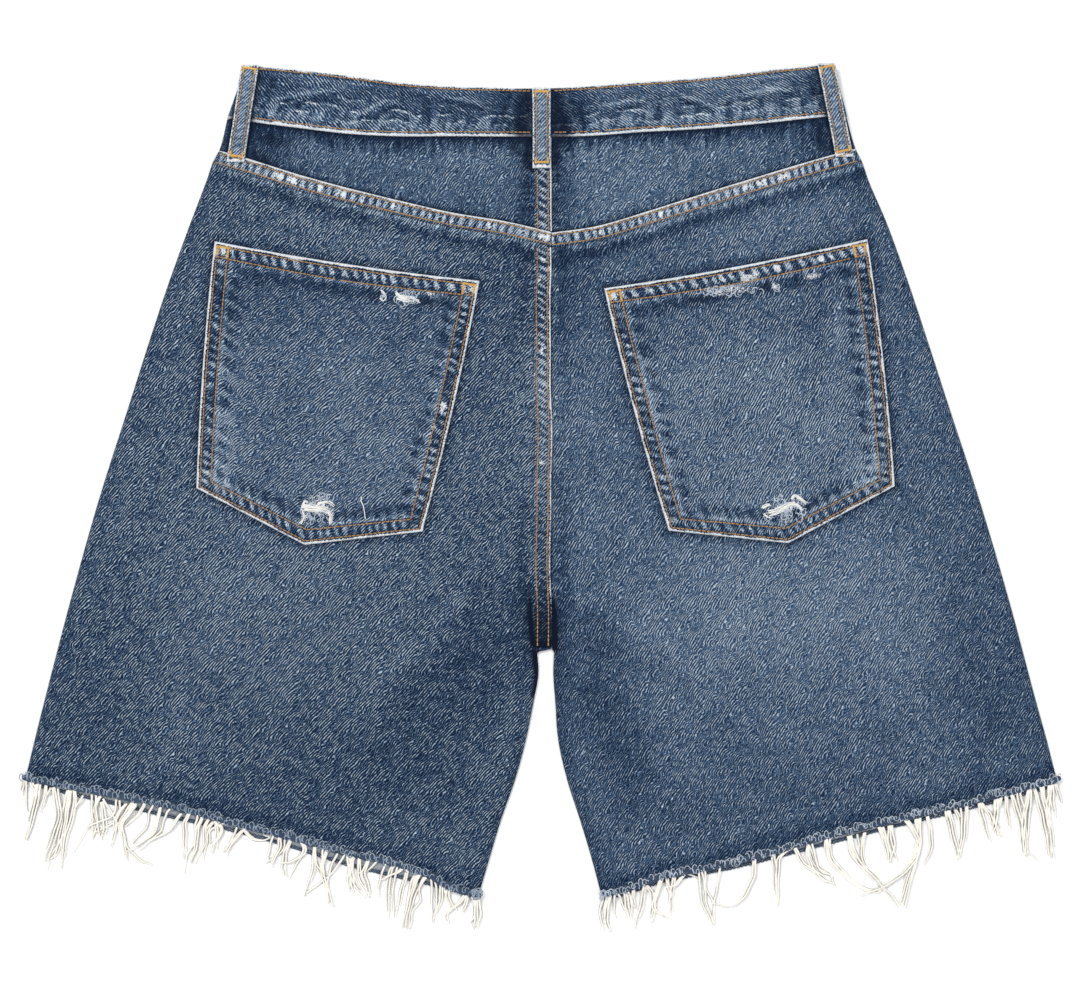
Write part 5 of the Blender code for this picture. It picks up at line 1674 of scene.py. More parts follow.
LOOPS = (
    LoopRow("belt_loop_centre", 0.0, 265.6, 0.2, 213.4, 12.3),
    LoopRow("belt_loop_left", -189.0, 280.6, -198.6, 217.4, 11.8),
    LoopRow("belt_loop_right", 184.6, 281.6, 196.6, 220.8, 11.8),
)


@dataclass
class BeltLoop:
    """A belt loop with folded edges, two rows of sewing and puckers between them."""

    row: LoopRow
    tailor: Tailor
    finish: Material
    columns: int = 25
    rows: int = 76
    cloth: float = 1.5

    def build(self) -> Object:
        """Makes the loop, from the waistband's top edge down to the cloth below."""
        row, pattern = self.row, self.tailor.pattern
        share = np.linspace(0, 1, self.rows)[:, None] + np.zeros((1, self.columns))
        across = np.linspace(-0.5, 0.5, self.columns)[None] + 0 * share
        length = math.hypot(row.top_x - row.bottom_x, row.top_y - row.bottom_y)
        bow = 1 - 0.05 * np.sin(share * math.pi)
        x = mix(row.top_x, row.bottom_x, share) + across * row.width * bow
        y = mix(row.top_y, row.bottom_y, share)
        over = BAND_BACK_Z + BAND_CLOTH + SEAM_GAP
        foot = float(pattern.lift(np.array(row.bottom_x), np.array(row.bottom_y + 3))) + CLOTH
        foot = min(foot + FELL_RISE + 0.6, over)
        start = (row.top_y - float(pattern.waist_bottom(row.bottom_x))) / length + 0.03
        step = smooth((share - start) / (0.92 - start))
        t = (across + 0.5) * row.width
        rim = 1 - rounded(t, row.width, 1.3)
        gather = Puckers(4.3, row.top_x * 0.1).at(share * length + 0.5 * t)
        sewn = groove(t, 2.6, 0.8) + groove(t, row.width - 2.6, 0.8)
        middle = hill(t - row.width / 2, 2.6)
        ends = hill(share * length - 2.4, 1.3) + hill((1 - share) * length - 3.4, 1.4)
        z = mix(over, foot, step) + self.cloth + 0.25 * gather * middle - 0.28 * sewn - 0.9 * rim
        z = z - 0.45 * ends - 0.5 * (1 - rounded(share * length, length, 1.0))
        weave = Weave(x, y, z, t, -share * length)
        weave.fade = 0.75 + 0.16 * gather * middle - 0.20 * sewn
        weave.fade += 0.05 * rough(x, y, 15, 0.9) - 0.18 * ends
        weave.white = 0.62 * bare_edge(np.minimum(t, row.width - t), share * length, 1.3, row.top_x)
        weave.white = np.maximum(weave.white, bare_edge(share * length, t, 1.1, 0.5))
        weave.white = np.maximum(weave.white, bare_edge((1 - share) * length, t, 2.2, 0.5))
        # Painted shade in a thin line between each folded edge and its row of sewing.
        weave.dark = 0.35 * hill(np.minimum(t, row.width - t) - 1.9, 0.5)
        weave.pull_x = 0.4 * middle
        name = f"{row.name}_cloth"
        return self.tailor.sheet(name, weave, self.finish, 1.3, node=row.name, slot="denim_worn")


# The front, which lies under


FLY_W, FLY_L, FLY_CORNER = 36.0, 142.0, 30.0
FACING_IN, FACING_DOWN = 88.0, 66.0
FRONT_INSET, FRONT_ROLL = 2.4, 2.6


@dataclass
class FrontCut:
    """The edges of the front's pieces."""

    side: Side
    pattern: Pattern

    def side_edge(self, y: Array | float) -> Array:
        """x of the fronts' outer edge."""
        return self.pattern.fold[self.side](y) - self.side.value * FRONT_INSET

    def corners(self) -> tuple[float, float, float]:
        """x of the facing's inner upper corner, and y of its inner and outer upper corners."""
        outer = float(self.side_edge(240))
        start = outer - self.side.value * FACING_IN
        return start, float(self.pattern.front_top(start)), float(self.pattern.front_top(outer))

    def mouth(self, y: Array | float, grow: float) -> Array:
        """x of the pocket's mouth, moved by grow, or of the side where the mouth has ended."""
        sign = self.side.value
        start, top, outer_top = self.corners()
        end = outer_top - FACING_DOWN
        rise = np.clip((top - np.asarray(y, float) - grow) / (top - end), 0, 1)
        x = start + sign * (FACING_IN + 12) * (1 - np.sqrt(1 - rise * rise)) - sign * grow
        edge = self.side_edge(y)
        return np.where((sign * x < sign * edge) & (rise < 1), x, edge)

    def fly_edge(self, y: Array | float) -> Array:
        """x of the fly's left edge and its curved lower corner."""
        end = float(self.pattern.front_top(FRONT_X)) - FLY_L
        rise = np.clip((end + FLY_CORNER - np.asarray(y, float)) / FLY_CORNER, 0, 1)
        return FRONT_X - FLY_W + (FLY_W - 3) * (1 - np.sqrt(1 - rise * rise))

    def inner_edge(self, y: Array | float) -> Array:
        """x of the front's inner edge: the fly or the rise seam, then the inner leg."""
        sign, pattern = self.side.value, self.pattern
        y = np.asarray(y, float)
        centre = np.full(y.shape, FRONT_X + sign * SEAM_GAP / 2)
        if self.side is Side.LEFT:
            end = float(pattern.front_top(FRONT_X)) - FLY_L - SEAM_GAP
            fly = self.fly_edge(y + SEAM_GAP) - SEAM_GAP
            centre = np.where(y > end, fly, centre)
        leg = pattern.inseam[self.side](np.minimum(y, CROTCH_Y - 1)) + sign * FRONT_INSET
        return mix(centre, leg, smooth((CROTCH_Y + 9 - y) / 10))


@dataclass
class Front:
    """One front, its pocket facing, and on the left the fly, as one level face on the floor."""

    side: Side
    tailor: Tailor
    finish: Material

    def grid(self, tops: tuple, lows: tuple, inner: Callable, outer: Callable, size: tuple) -> Weave:
        """A level piece between two edges.

        Args:
            tops: Heights y of its upper corners, inner and outer.
            lows: Heights y of its lower corners.
            inner: x of its inner edge at y.
            outer: x of its outer edge at y.
            size: How many rows and columns.

        Returns:
            The piece's grid, right side down.
        """
        rows, columns = size
        down = np.linspace(0, 1, rows)[:, None]
        share = np.linspace(0, 1, columns)[None]
        inner_y, outer_y = mix(tops[0], lows[0], down), mix(tops[1], lows[1], down)
        inner_x, outer_x = inner(inner_y), outer(outer_y)
        x = mix(inner_x, outer_x, share)
        y = mix(inner_y, outer_y, share)
        return Weave(x, y, 0 * x + 0.15, x.copy(), y.copy())

    def front(self) -> Object:
        """Makes the front."""
        pattern, side = self.tailor.pattern, self.side
        cut = FrontCut(side, pattern)
        sign = side.value
        mouth_x = float(cut.mouth(300.0, SEAM_GAP))
        inner_top = FRONT_X - FLY_W - SEAM_GAP if side is Side.LEFT else FRONT_X + SEAM_GAP / 2
        tops = (float(pattern.front_top(inner_top)), float(pattern.front_top(mouth_x)) - SEAM_GAP)
        lift = FRONT_ROLL + 0.6
        inner_out = abs(float(pattern.inseam[side](HEM_IN_Y))) + FRONT_INSET
        outer_out = abs(float(cut.side_edge(-186.6))) - 0.5
        lows = tuple(float(pattern.front_hem[side](out)) + lift for out in (inner_out, outer_out))
        weave = self.grid(tops, lows, cut.inner_edge, lambda y: cut.mouth(y, SEAM_GAP), (110, 56))
        share = np.linspace(0, 1, 56)[None]
        down = np.linspace(0, 1, 110)[:, None]
        hem = bend_of(lambda x: pattern.front_hem[side](np.abs(x)), sign * inner_out, sign * outer_out)
        waist = bend_of(pattern.front_top, inner_top, mouth_x)
        weave.y += hem(share) * down**3 + waist(share) * (1 - down) ** 3
        weave.v = weave.y.copy()
        return self.finished(weave, "front", "denim")

    def facing(self) -> Object:
        """Makes the piece behind the pocket's mouth."""
        cut = FrontCut(self.side, self.tailor.pattern)
        _, top_in, top_out = cut.corners()
        low = top_out - FACING_DOWN
        reach = 1 - (FACING_IN - 2.0) / (FACING_IN + 12)
        low = mix(top_in, low, math.sqrt(1 - reach * reach))
        tops, lows = (top_in, top_out), (low, low)
        weave = self.grid(tops, lows, lambda y: cut.mouth(y, 0.0), cut.side_edge, (22, 22))
        return self.finished(weave, "front_pocket", "denim_dark")

    def fly(self) -> Object:
        """Makes the fly's facing."""
        pattern = self.tailor.pattern
        cut = FrontCut(Side.LEFT, pattern)
        right = FRONT_X - SEAM_GAP / 2
        top_in, top_out = float(pattern.front_top(FRONT_X - FLY_W)), float(pattern.front_top(right))
        low = float(pattern.front_top(FRONT_X)) - FLY_L
        weave = self.grid((top_in, top_out), (low, low), cut.fly_edge, lambda y: 0 * y + right, (60, 16))
        return self.finished(weave, "fly", "denim_dark")

    def finished(self, weave: Weave, word: str, slot: str) -> Object:
        """Wears a front piece and makes it."""
        side = self.side
        weave.fade = 0.54 + 0.05 * rough(weave.x, weave.y, 60, 0.5)
        weave.fade += 0.14 * hill((weave.x / side.value - 150) / 60, 1.0) * hill(weave.y + 40, 120)
        if slot == "denim_dark":
            weave.fade -= 0.10
        edge = np.zeros_like(weave.x)
        edge[:, [0, -1]] = 1.0
        edge[[0, -1], :] = 1.0
        weave.white = 0.45 * edge
        node = word if word == "fly" else f"{word}_{side.word}"
        return self.tailor.sheet(f"{node}_cloth", weave, self.finish, CLOTH - 0.2, False, node, slot)

    def loop(self, band: Waistband) -> Object:
        """Makes the belt loop that is pressed level into the front waistband."""
        side = self.side
        reach = self.tailor.pattern.waist(side)
        half = FRONT_LOOP_W / 2 - SEAM_GAP
        share = np.linspace(0.03, 0.97, 30)
        x, y = [], []
        for along in np.linspace(-half, half, 9).tolist():
            spot = BandSpot(side, reach - FRONT_LOOP_X + along, 0.0, True)
            px, py = band.place(spot, share)
            x.append(px)
            y.append(py)
        x, y = np.stack(x, 1), np.stack(y, 1)
        weave = Weave(x, y, 0 * x, x.copy(), y.copy())
        weave.fade += 0.60
        weave.white[:, [0, -1]] = 0.5
        name, node = f"front_loop_{side.word}", f"belt_loop_front_{side.word}"
        return self.tailor.sheet(name, weave, self.finish, 0.9, False, node, "denim_worn")


# Yarn, sewing and metal


@dataclass(frozen=True)
class YarnFinish:
    """Cotton yarn with fine twisted fibres."""

    name: str
    low: tuple[float, float, float]
    high: tuple[float, float, float]
    fleck: float = 0.5

    def material(self) -> Material:
        """Makes the material."""
        looks = Looks(self.name, Sheen_Weight=0.2, Specular_IOR_Level=0.25)
        at = looks.place()
        fine = looks.noise(at, 0.0006, 2.0)
        wide = looks.noise(at, 0.006, 1.0)
        share = ((fine - 0.5) * self.fleck * 2.0 + (wide - 0.5) * 0.9 + 0.5).clamp()
        colour = looks.blend(share, self.low, self.high)
        return looks.finish(colour, fine, 0.00025, 0.85)


@dataclass(frozen=True)
class CopperFinish:
    """Aged copper plate, darker and rougher in patches."""

    name: str = "button_copper"

    def material(self) -> Material:
        """Makes the material."""
        looks = Looks(self.name, Metallic=1.0)
        at = looks.place()
        tarnish = looks.noise(at, 0.004, 3.0)
        scratch = looks.noise(at, 0.0009, 1.0)
        colour = looks.blend(tarnish.step(0.35, 0.7), (0.52, 0.30, 0.17), (0.20, 0.12, 0.08))
        return looks.finish(colour, scratch * 0.5 + tarnish * 0.5, 0.0001, tarnish * 0.3 + 0.28)


@dataclass
class Yarn:
    """A bundle of round threads, made as one curve object."""

    name: str
    tailor: Tailor
    finish: Material
    radius: float = 0.5
    sides: int = 1  # the bevel's resolution
    curve: bpy.types.Curve = None

    def __post_init__(self) -> None:
        """Starts the curve."""
        self.curve = bpy.data.curves.new(self.name, "CURVE")
        self.curve.dimensions = "3D"
        self.curve.bevel_depth = self.radius * MM
        self.curve.bevel_resolution = self.sides
        self.curve.use_fill_caps = True

    def add(self, points: Array, taper: Array | float = 1.0) -> None:
        """Adds a thread.

        Args:
            points: Its points, in millimetres, as rows of x, y and z.
            taper: How thick its end is beside its root, or how thick it is at each point.
        """
        count = len(points)
        spline = self.curve.splines.new("POLY")
        spline.points.add(count - 1)
        placed = np.ones((count, 4))
        placed[:, :3] = (points + np.array([0, OFFSET_Y, 0])) * MM
        spline.points.foreach_set("co", placed.ravel())
        spline.points.foreach_set("radius", taper if np.ndim(taper) else np.linspace(1.0, taper, count))
        spline.use_smooth = True

    def finished(self, slot: str = "") -> Object:
        """Turns the threads into an object that rides on the garment, with its finish."""
        made = bpy.data.objects.new(self.name, self.curve)
        made.data.materials.append(self.finish)
        bpy.context.scene.collection.objects.link(made)
        self.tailor.ride(made)
        return made


def flowing(points: Sequence[Sequence[float]], steps: int = 4) -> Array:
    """A smooth line through some points, with a number of steps between each two."""
    given = np.array(points, float)
    ends = np.vstack([2 * given[0] - given[1], given, 2 * given[-1] - given[-2]])
    found = []
    for i in range(len(given) - 1):
        a, b, c, d = ends[i : i + 4]
        for t in np.arange(steps) / steps:
            bend = (2 * a - 5 * b + 4 * c - d) * t * t + (3 * b - a - 3 * c + d) * t**3
            found.append(0.5 * (2 * b + (c - a) * t + bend))
    found.append(given[-1])
    return np.array(found)


BACK_ROLL_Z = 1.65
ROLL_W, ROLL_T = 5.4, 2.7
FRONT_ROLL_W, FRONT_ROLL_T = 3.0, 1.3
ROLL_IN, BACK_ROLL_OUT, FRONT_ROLL_OUT = 39.0, 338.5, 334.0  # the rolls' ends, out from the centre


@dataclass
class HemRoll:
    """The frayed roll of a cut hem: a twist of blue yarn, covered with little pale curls."""

    side: Side
    edge: str
    tailor: Tailor
    blue: Material
    pale: Material

    def line(self, x: Array) -> tuple[Array, float, float, float]:
        """y of the roll's middle at x, its middle height, half width and half thickness."""
        pattern = self.tailor.pattern
        if self.edge == "back":
            y = pattern.back_hem[self.side](np.abs(x)) - ROLL_W / 2
            return y, BACK_ROLL_Z + ROLL_T / 2, ROLL_W / 2, ROLL_T / 2
        y = pattern.front_hem[self.side](np.abs(x)) + FRONT_ROLL_W / 2
        return y, FRONT_ROLL_T / 2, FRONT_ROLL_W / 2, FRONT_ROLL_T / 2

    def build(self) -> None:
        """Makes the twist and, on the back, its curls."""
        side, sign = self.side, self.side.value
        outer = BACK_ROLL_OUT if self.edge == "back" else FRONT_ROLL_OUT
        word = f"{self.edge}_hem_{side.word}"
        x = np.arange(ROLL_IN + 0.5, outer - 0.5, 1.15) * sign
        y, mid_z, half, high = self.line(x)
        radius = high * 0.62
        twist = Yarn(f"{word}_twist", self.tailor, self.blue, radius)
        plies = 4 if self.edge == "back" else 3
        ends = np.clip((np.abs(x) - ROLL_IN) / 4, 0.45, 1) * np.clip((outer - np.abs(x)) / 4, 0.45, 1)
        for ply in range(plies):
            turn = 2 * math.pi * (x / 7.5 + ply / plies) + 0.8 * np.sin(x * 0.11)
            swell = (1 + 0.12 * np.sin(x * 0.37) + 0.08 * np.sin(x * 0.83 + 1)) * ends
            py = y + (half - radius) * swell * np.cos(turn)
            pz = mid_z + (high - radius) * swell * np.sin(turn)
            twist.add(np.stack([x, py, pz], 1))
        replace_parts(twist.finished("frayed_yarn"), word)
        if self.edge == "back":
            self.curls(word, outer)

    def curls(self, word: str, outer: float) -> None:
        """Makes the curls: short loops of weft that stand from the cut edge."""
        dice = random.Random(f"curls {word}")
        curls = Yarn(f"{word}_curls", self.tailor, self.pale, 0.38, 0)
        place = ROLL_IN + 1.0
        while place < outer - 0.5:
            size, off = dice.uniform(0.9, 1.9), dice.uniform(-0.5, 0.7)
            self.curl(curls, dice, place * self.side.value, off, size)
            place += dice.uniform(0.9, 2.8)
        for _ in range(7 if self.side is Side.LEFT else 5):
            place = ROLL_IN + 2.2 + dice.uniform(-2.6, 2.6)
            self.curl(curls, dice, place * self.side.value, dice.uniform(-1.0, 1.0), dice.uniform(1.3, 2.4))
        curls.finished("frayed_yarn")

    def curl(self, curls: Yarn, dice: random.Random, x: float, off: float, size: float) -> None:
        """Makes one curl on the roll.

        Args:
            curls: The yarn that it joins.
            dice: Where its lean and sweep come from.
            x: Its place along the hem.
            off: Its place across the roll, in half widths.
            size: Its radius.
        """
        y, mid_z, half, high = self.line(np.array(x))
        lean = dice.uniform(-0.9, 0.9)
        turn = dice.uniform(-0.9, 1.2) + dice.uniform(2.3, 5.8) * np.linspace(0, 1, 8)
        px = x + size * np.cos(turn) + lean * np.linspace(0, 1, 8)
        py = np.minimum(y + off * half + size * 1.5 * np.sin(turn), y + half + 1.6)
        fall = 0.9 * np.maximum(np.abs(py - y) / half - 0.75, 0) * high
        pz = mid_z + high * 0.75 + 0.55 * np.sin(np.linspace(0, math.pi, 8)) + 0.15 * lean - fall
        curls.add(np.column_stack([px, py, np.maximum(pz, 0.5)]), 0.8)


class ThreadGroup(NamedTuple):
    """Loose threads of a stretch of hem: its corner, and each thread's points, right and down by turns."""

    x: float
    y: float
    threads: tuple[tuple[float, ...], ...]


THREAD_STEP = 0.5415  # the small step of the threads' tables, right and down from the corner

THREADS = (
    ThreadGroup(-345.5, -170.8, (
        (17, 28, 14, 42), (19, 28, 19.4, 61), (24, 30, 30, 46, 19, 96), (34, 32, 28, 58, 17, 96),
        (37, 33, 31, 60, 20, 96), (43, 34, 36, 63), (49, 37, 41, 48, 42, 53),
        (53, 36, 58, 66, 49, 96, 40, 121), (57, 36, 61, 68, 52, 100, 42.4, 131),
        (69, 40, 64, 56, 60, 84, 53, 114, 43, 121), (74, 40, 70, 60, 66, 84, 60, 128),
        (77, 40, 75, 60, 65, 96, 61, 131), (88, 46, 77, 60, 69, 80, 58, 100, 45, 120),
        (98, 45, 98, 68, 99, 92), (103, 46, 104, 70, 108, 95), (109, 47, 102, 60, 103, 80, 98, 95),
        (112, 50, 124, 68, 128, 80, 121, 104), (128, 51, 124, 66, 108, 74, 92, 82, 74, 111),
        (132, 52, 128, 72, 100, 88), (109, 54, 112, 80, 109, 95), (140, 56, 130, 66, 126, 80, 120, 104),
        (146, 55, 136, 66, 128, 80, 124, 96),
        (152, 56, 140, 68, 134, 80, 138, 94, 140, 104, 156, 120, 170, 126),
        (152, 58, 138, 72, 135, 80, 138, 104, 140, 120), (162, 54, 154, 64, 144, 74, 138, 80),
        (172, 57, 166, 66, 164, 80, 146, 100), (181, 60, 174, 86, 156, 100, 144, 108),
        (192, 62, 186, 68, 180, 86, 168, 96, 154, 109), (206, 68, 190, 86, 170, 96, 158, 106),
        (215, 67, 208, 76, 208, 96, 207, 118), (226, 69, 222, 80, 222, 96, 212, 116, 209, 136),
        (232, 71, 226, 84, 224, 104, 216, 124), (238, 73, 232, 84, 232, 100, 220, 124),
        (248, 75, 238, 84, 236, 100, 231, 119), (249, 75, 249, 90, 248, 107),
        (250, 76, 255, 86, 246, 100, 241, 112), (266, 77, 252, 78, 240, 86, 240, 100),
        (274, 80, 264, 100, 255, 110), (286, 82, 274, 92, 264, 104, 259, 115),
        (278, 82, 288, 94, 302, 97, 312, 94),
    )),
    ThreadGroup(-189.5, -196.8, (
        (12, 38, 18, 43, 28, 45, 35, 48), (28, 45, 23, 60, 21, 74), (37, 45, 36, 58, 24, 80),
        (43, 47, 38, 62, 18, 76), (49, 49, 41, 62, 38, 80, 40, 90), (60, 52, 64, 62, 50, 74, 36, 76),
        (62, 53, 65, 62, 54, 80, 47, 94), (48, 50, 43, 66, 43, 92), (77, 58, 74, 86, 64, 115),
        (79, 58, 79, 74, 86, 88, 94, 104, 98, 128), (88, 60, 86, 80, 91, 100, 93, 124),
        (94, 62, 88, 78, 90, 94, 100, 128), (115, 67, 100, 86, 84, 100, 64, 115),
        (106, 65, 96, 84, 93, 104, 94, 122), (125, 69, 118, 86, 118, 109), (116, 68, 122, 96, 138, 118),
        (131, 71, 130, 92, 144, 116), (144, 74, 138, 88, 143, 104, 142, 117), (154, 75, 140, 86, 128, 88),
        (121, 68, 120, 94, 124, 110), (164, 77, 156, 96, 154, 115), (174, 80, 168, 96, 166, 143),
        (178, 81, 172, 104, 172, 142), (186, 82, 180, 86, 170, 90, 158, 96),
        (189, 84, 180, 112, 175, 140), (200, 87, 192, 104, 188, 128, 182, 154),
        (206, 89, 198, 104, 191, 128, 186, 154), (212, 91, 202, 106, 194, 128, 190, 155),
        (215, 92, 204, 104, 204, 122, 196, 132, 192, 154), (218, 93, 218, 120, 218, 147),
        (222, 94, 224, 120, 220, 147), (228, 96, 228, 116, 224, 136), (239, 100, 240, 120, 248, 132),
        (232, 98, 238, 122, 248, 132), (262, 112, 252, 124, 238, 136, 238, 149),
        (264, 114, 258, 130, 254, 133), (266, 116, 270, 136, 264, 148), (270, 118, 270, 140, 268, 156),
        (274, 118, 277, 136, 272, 155), (228, 96, 244, 108, 262, 112),
    )),
    ThreadGroup(31.5, -196.8, (
        (16, 119, 12, 138, 17, 156), (20, 119, 17, 138, 22, 158), (25, 118, 21, 140, 24, 157),
        (30, 117, 29, 132, 31, 142), (41, 112, 43, 128, 47, 140), (45, 111, 50, 124, 49, 141),
        (34, 116, 42, 132, 47, 140), (51, 110, 51, 124, 54, 129), (65, 104, 60, 128, 53, 154),
        (66, 103, 76, 112, 77, 128, 72, 147), (85, 97, 78, 114, 79, 130, 74, 147),
        (88, 96, 78, 128, 93, 141), (100, 93, 96, 120, 97, 139), (91, 95, 94, 108, 98, 118),
        (115, 91, 104, 102, 90, 105), (115, 91, 132, 95), (131, 88, 134, 120, 147, 150),
        (134, 87, 138, 104, 140, 124, 149, 149), (138, 86, 140, 108, 149, 124, 150, 148),
        (156, 82, 153, 104, 149, 128, 148, 149), (198, 72, 198, 90, 186, 116, 170, 127, 146, 124),
        (221, 68, 224, 84, 225, 127), (244, 60, 230, 68, 227, 90, 226, 127), (246, 58, 258, 76, 282, 92),
        (260, 56, 270, 78, 294, 93), (266, 55, 276, 84, 288, 90, 294, 102),
        (262, 56, 264, 72, 276, 92, 293, 101), (284, 50, 286, 62, 296, 80, 312, 96),
        (288, 50, 290, 66, 300, 80, 312, 92),
    )),
    ThreadGroup(174.5, -174.0, (
        (20, 92, 26, 116, 40, 130, 60, 146, 80, 154, 88, 149), (45, 89, 52, 112, 76, 134, 105, 170),
        (49, 88, 58, 112, 80, 138, 112, 170), (65, 85, 62, 104, 70, 130, 94, 146), (57, 87, 60, 100),
        (114, 70, 128, 88, 132, 104, 120, 124, 94, 144, 60, 157),
        (118, 70, 130, 86, 131, 104, 112, 130, 88, 149, 66, 148, 40, 128, 22, 104),
        (131, 68, 133, 84, 128, 112, 112, 166), (132, 67, 133, 96, 126, 124, 114, 170),
        (128, 68, 132, 88, 120, 130, 108, 168), (142, 65, 147, 84, 146, 104, 137, 119),
        (84, 78, 92, 96, 95, 118), (88, 78, 95, 100, 100, 118), (96, 76, 99, 96, 106, 116),
        (98, 76, 102, 96, 96, 116), (162, 58, 168, 76, 177, 114), (166, 58, 172, 80, 180, 112),
        (174, 57, 180, 70), (181, 55, 183, 80, 178, 113), (187, 53, 186, 80, 181, 110),
        (204, 49, 210, 66, 217, 92), (206, 49, 218, 60, 226, 80, 232, 86), (222, 45, 222, 64, 226, 84),
        (226, 44, 225, 66, 221, 80), (229, 43, 222, 64, 232, 86), (236, 40, 239, 60, 242, 78),
        (243, 39, 254, 68, 258, 110), (248, 37, 254, 60, 260, 110), (252, 36, 258, 58, 262, 108),
        (264, 32, 260, 56, 258, 80, 260, 108), (266, 32, 264, 66, 262, 102, 277, 116),
        (270, 31.6, 278, 52, 284, 80, 288, 111), (276, 30, 282, 52, 288, 80, 293, 111),
        (280, 29, 284, 60, 290, 90), (286, 28, 288, 52, 290, 111), (292, 27, 293, 40, 295, 62),
        (296, 26, 304, 46), (288, 28, 285, 56, 294, 110),
    )),
)


@dataclass
class Fringe:
    """The long loose threads of both hems, which lie on the surface below them."""

    tailor: Tailor
    finish: Material
    shaded: Material
    radius: float = 0.76

    def build(self) -> None:
        """Makes the threads of each leg."""
        for side in Side:
            yarn = Yarn(f"loose_threads_{side.word}", self.tailor, self.finish, self.radius)
            fine = Yarn(f"loose_fibres_{side.word}", self.tailor, self.shaded, 0.24, 0)
            for group in THREADS:
                if group.x * side.value > 0:
                    self.group(group, side, yarn, fine)
            yarn.finished("frayed_yarn")
            fine.finished("frayed_yarn")

    def group(self, group: ThreadGroup, side: Side, yarn: Yarn, fine: Yarn) -> None:
        """Lays one stretch of hem's threads, each with thin dark grey threads beside it as its painted
        shadow.
        """
        dice = random.Random(f"threads {group.x}")
        hem = self.tailor.pattern.back_hem[side]
        for order, thread in enumerate(group.threads):
            steps = np.array(thread).reshape(-1, 2) * THREAD_STEP
            flat = [(group.x + right, group.y - down) for right, down in steps.tolist()]
            root_y = float(hem(abs(flat[0][0]))) - 2.0
            flat[0] = (flat[0][0], min(flat[0][1] + 2.0, root_y))
            line = flowing(flat, 5)
            count = len(line)
            run = np.linspace(0, 1, count)
            ground = 0.85 + 0.55 * (order % 3)
            z = mix(BACK_ROLL_Z + 1.5, ground, smooth(run * 2.4))
            wave = 0.22 * np.sin(np.arange(count) * 1.3 + order)
            points = np.column_stack([line[:, 0] + wave, line[:, 1], z])
            yarn.add(points, 0.7)
            if dice.random() < 0.6:
                beside = dice.choice((-1, 1)) * (0.9 + 0.8 * np.sin(run * math.pi)) * dice.uniform(0.8, 1.3)
                upto = int(count * dice.uniform(0.75, 1.0))
                second = points + np.column_stack([beside, 0.25 * beside, 0 * beside - 0.2])
                yarn.add(second[: max(upto, 3)], 0.6)
            # Painted shadow: thin dark grey threads just beside and below each thread.
            away = np.gradient(points[:, :2], axis=0)
            away = away[:, ::-1] / np.maximum(np.hypot(*away.T), 1e-6)[:, None] * (1, -1)
            for hand in (-1, 1):
                start = int(count * dice.uniform(0.0, 0.4))
                stop = int(count * dice.uniform(0.6, 1.0)) + 1
                offset = hand * (self.radius * 0.95) * np.linspace(1.0, 0.7, count)
                under = np.column_stack([points[:, :2] + away * offset[:, None], points[:, 2] - 0.34])
                if stop - start > 2:
                    fine.add(under[start:stop], 0.6)


def heights(tops: Sequence[Object]) -> BVHTree:
    """Everything that sewing can lie on, as one tree."""
    verts, polygons = [], []
    for top in tops:
        start = len(verts)
        verts += [v.co.copy() for v in top.data.vertices]
        polygons += [[start + index for index in p.vertices] for p in top.data.polygons]
    return BVHTree.FromPolygons(verts, polygons)


@dataclass
class Sewing(Yarn):
    """Rows of stitches, each a short dash of thread pulled down into the cloth at its ends."""

    ground: BVHTree = None
    pitch: float = 2.7
    length: float = 2.35

    def row(self, path: Iterable[tuple[float, float]], skip: float = 0.0) -> None:
        """Sews along a path of x and y, leaving out a share of the stitches."""
        line = np.array(list(path), float)
        dice = random.Random(f"{self.name} {line[0]}")
        steps = np.hypot(*np.diff(line, axis=0).T)
        along = np.concatenate([[0], np.cumsum(steps)])
        count = max(int(along[-1] / self.pitch), 1)
        for k in range(count):
            middle = (k + 0.5) * along[-1] / count
            ends = middle + np.array([-0.5, 0.5]) * self.length
            places = np.stack([np.interp(ends, along, line[:, axis]) for axis in (0, 1)], 1)
            if dice.random() >= skip:
                self.stitch(places[0], places[1], dice.uniform(0.85, 1.1))

    def stitch(self, start: Array, end: Array, swell: float = 1.0) -> None:
        """Lays one stitch between two points."""
        places = [mix(start, end, share) for share in (0.0, 0.2, 0.8, 1.0)]
        drops = [self.drop(*place) for place in places]
        if None in drops:
            return
        line = np.array(drops) + np.array([[0, 0, -0.25], [0, 0, 0.08], [0, 0, 0.08], [0, 0, -0.25]])
        if np.ptp(line[:, 2]) < 1.2:
            self.add(line, np.array([0.5, 1.0, 1.0, 0.5]) * swell)

    def drop(self, x: float, y: float) -> tuple | None:
        """The top of the cloth at x and y."""
        hit = self.ground.ray_cast(Vector((x * MM, (y + OFFSET_Y) * MM, 0.05)), Vector((0, 0, -1)))[0]
        return None if hit is None else (x, y, hit.z / MM)

    def tack(self, x: float, y: float, turn: float, length: float, width: float) -> None:
        """Sews a bar tack: close satin stitches across a short bar."""
        dice = random.Random(f"tack {x} {y}")
        angle = math.radians(turn)
        run = np.array([math.cos(angle), math.sin(angle)])
        rise = np.array([-run[1], run[0]]) * width / 2
        count = int(length / 0.55)
        for k in range(count + 1):
            middle = np.array([x, y]) + run * (k / count - 0.5) * length
            lean = run * (0.16 if k % 2 else -0.16)
            half = rise * dice.uniform(0.85, 1.1)
            self.stitch(middle - half - lean, middle + half + lean)


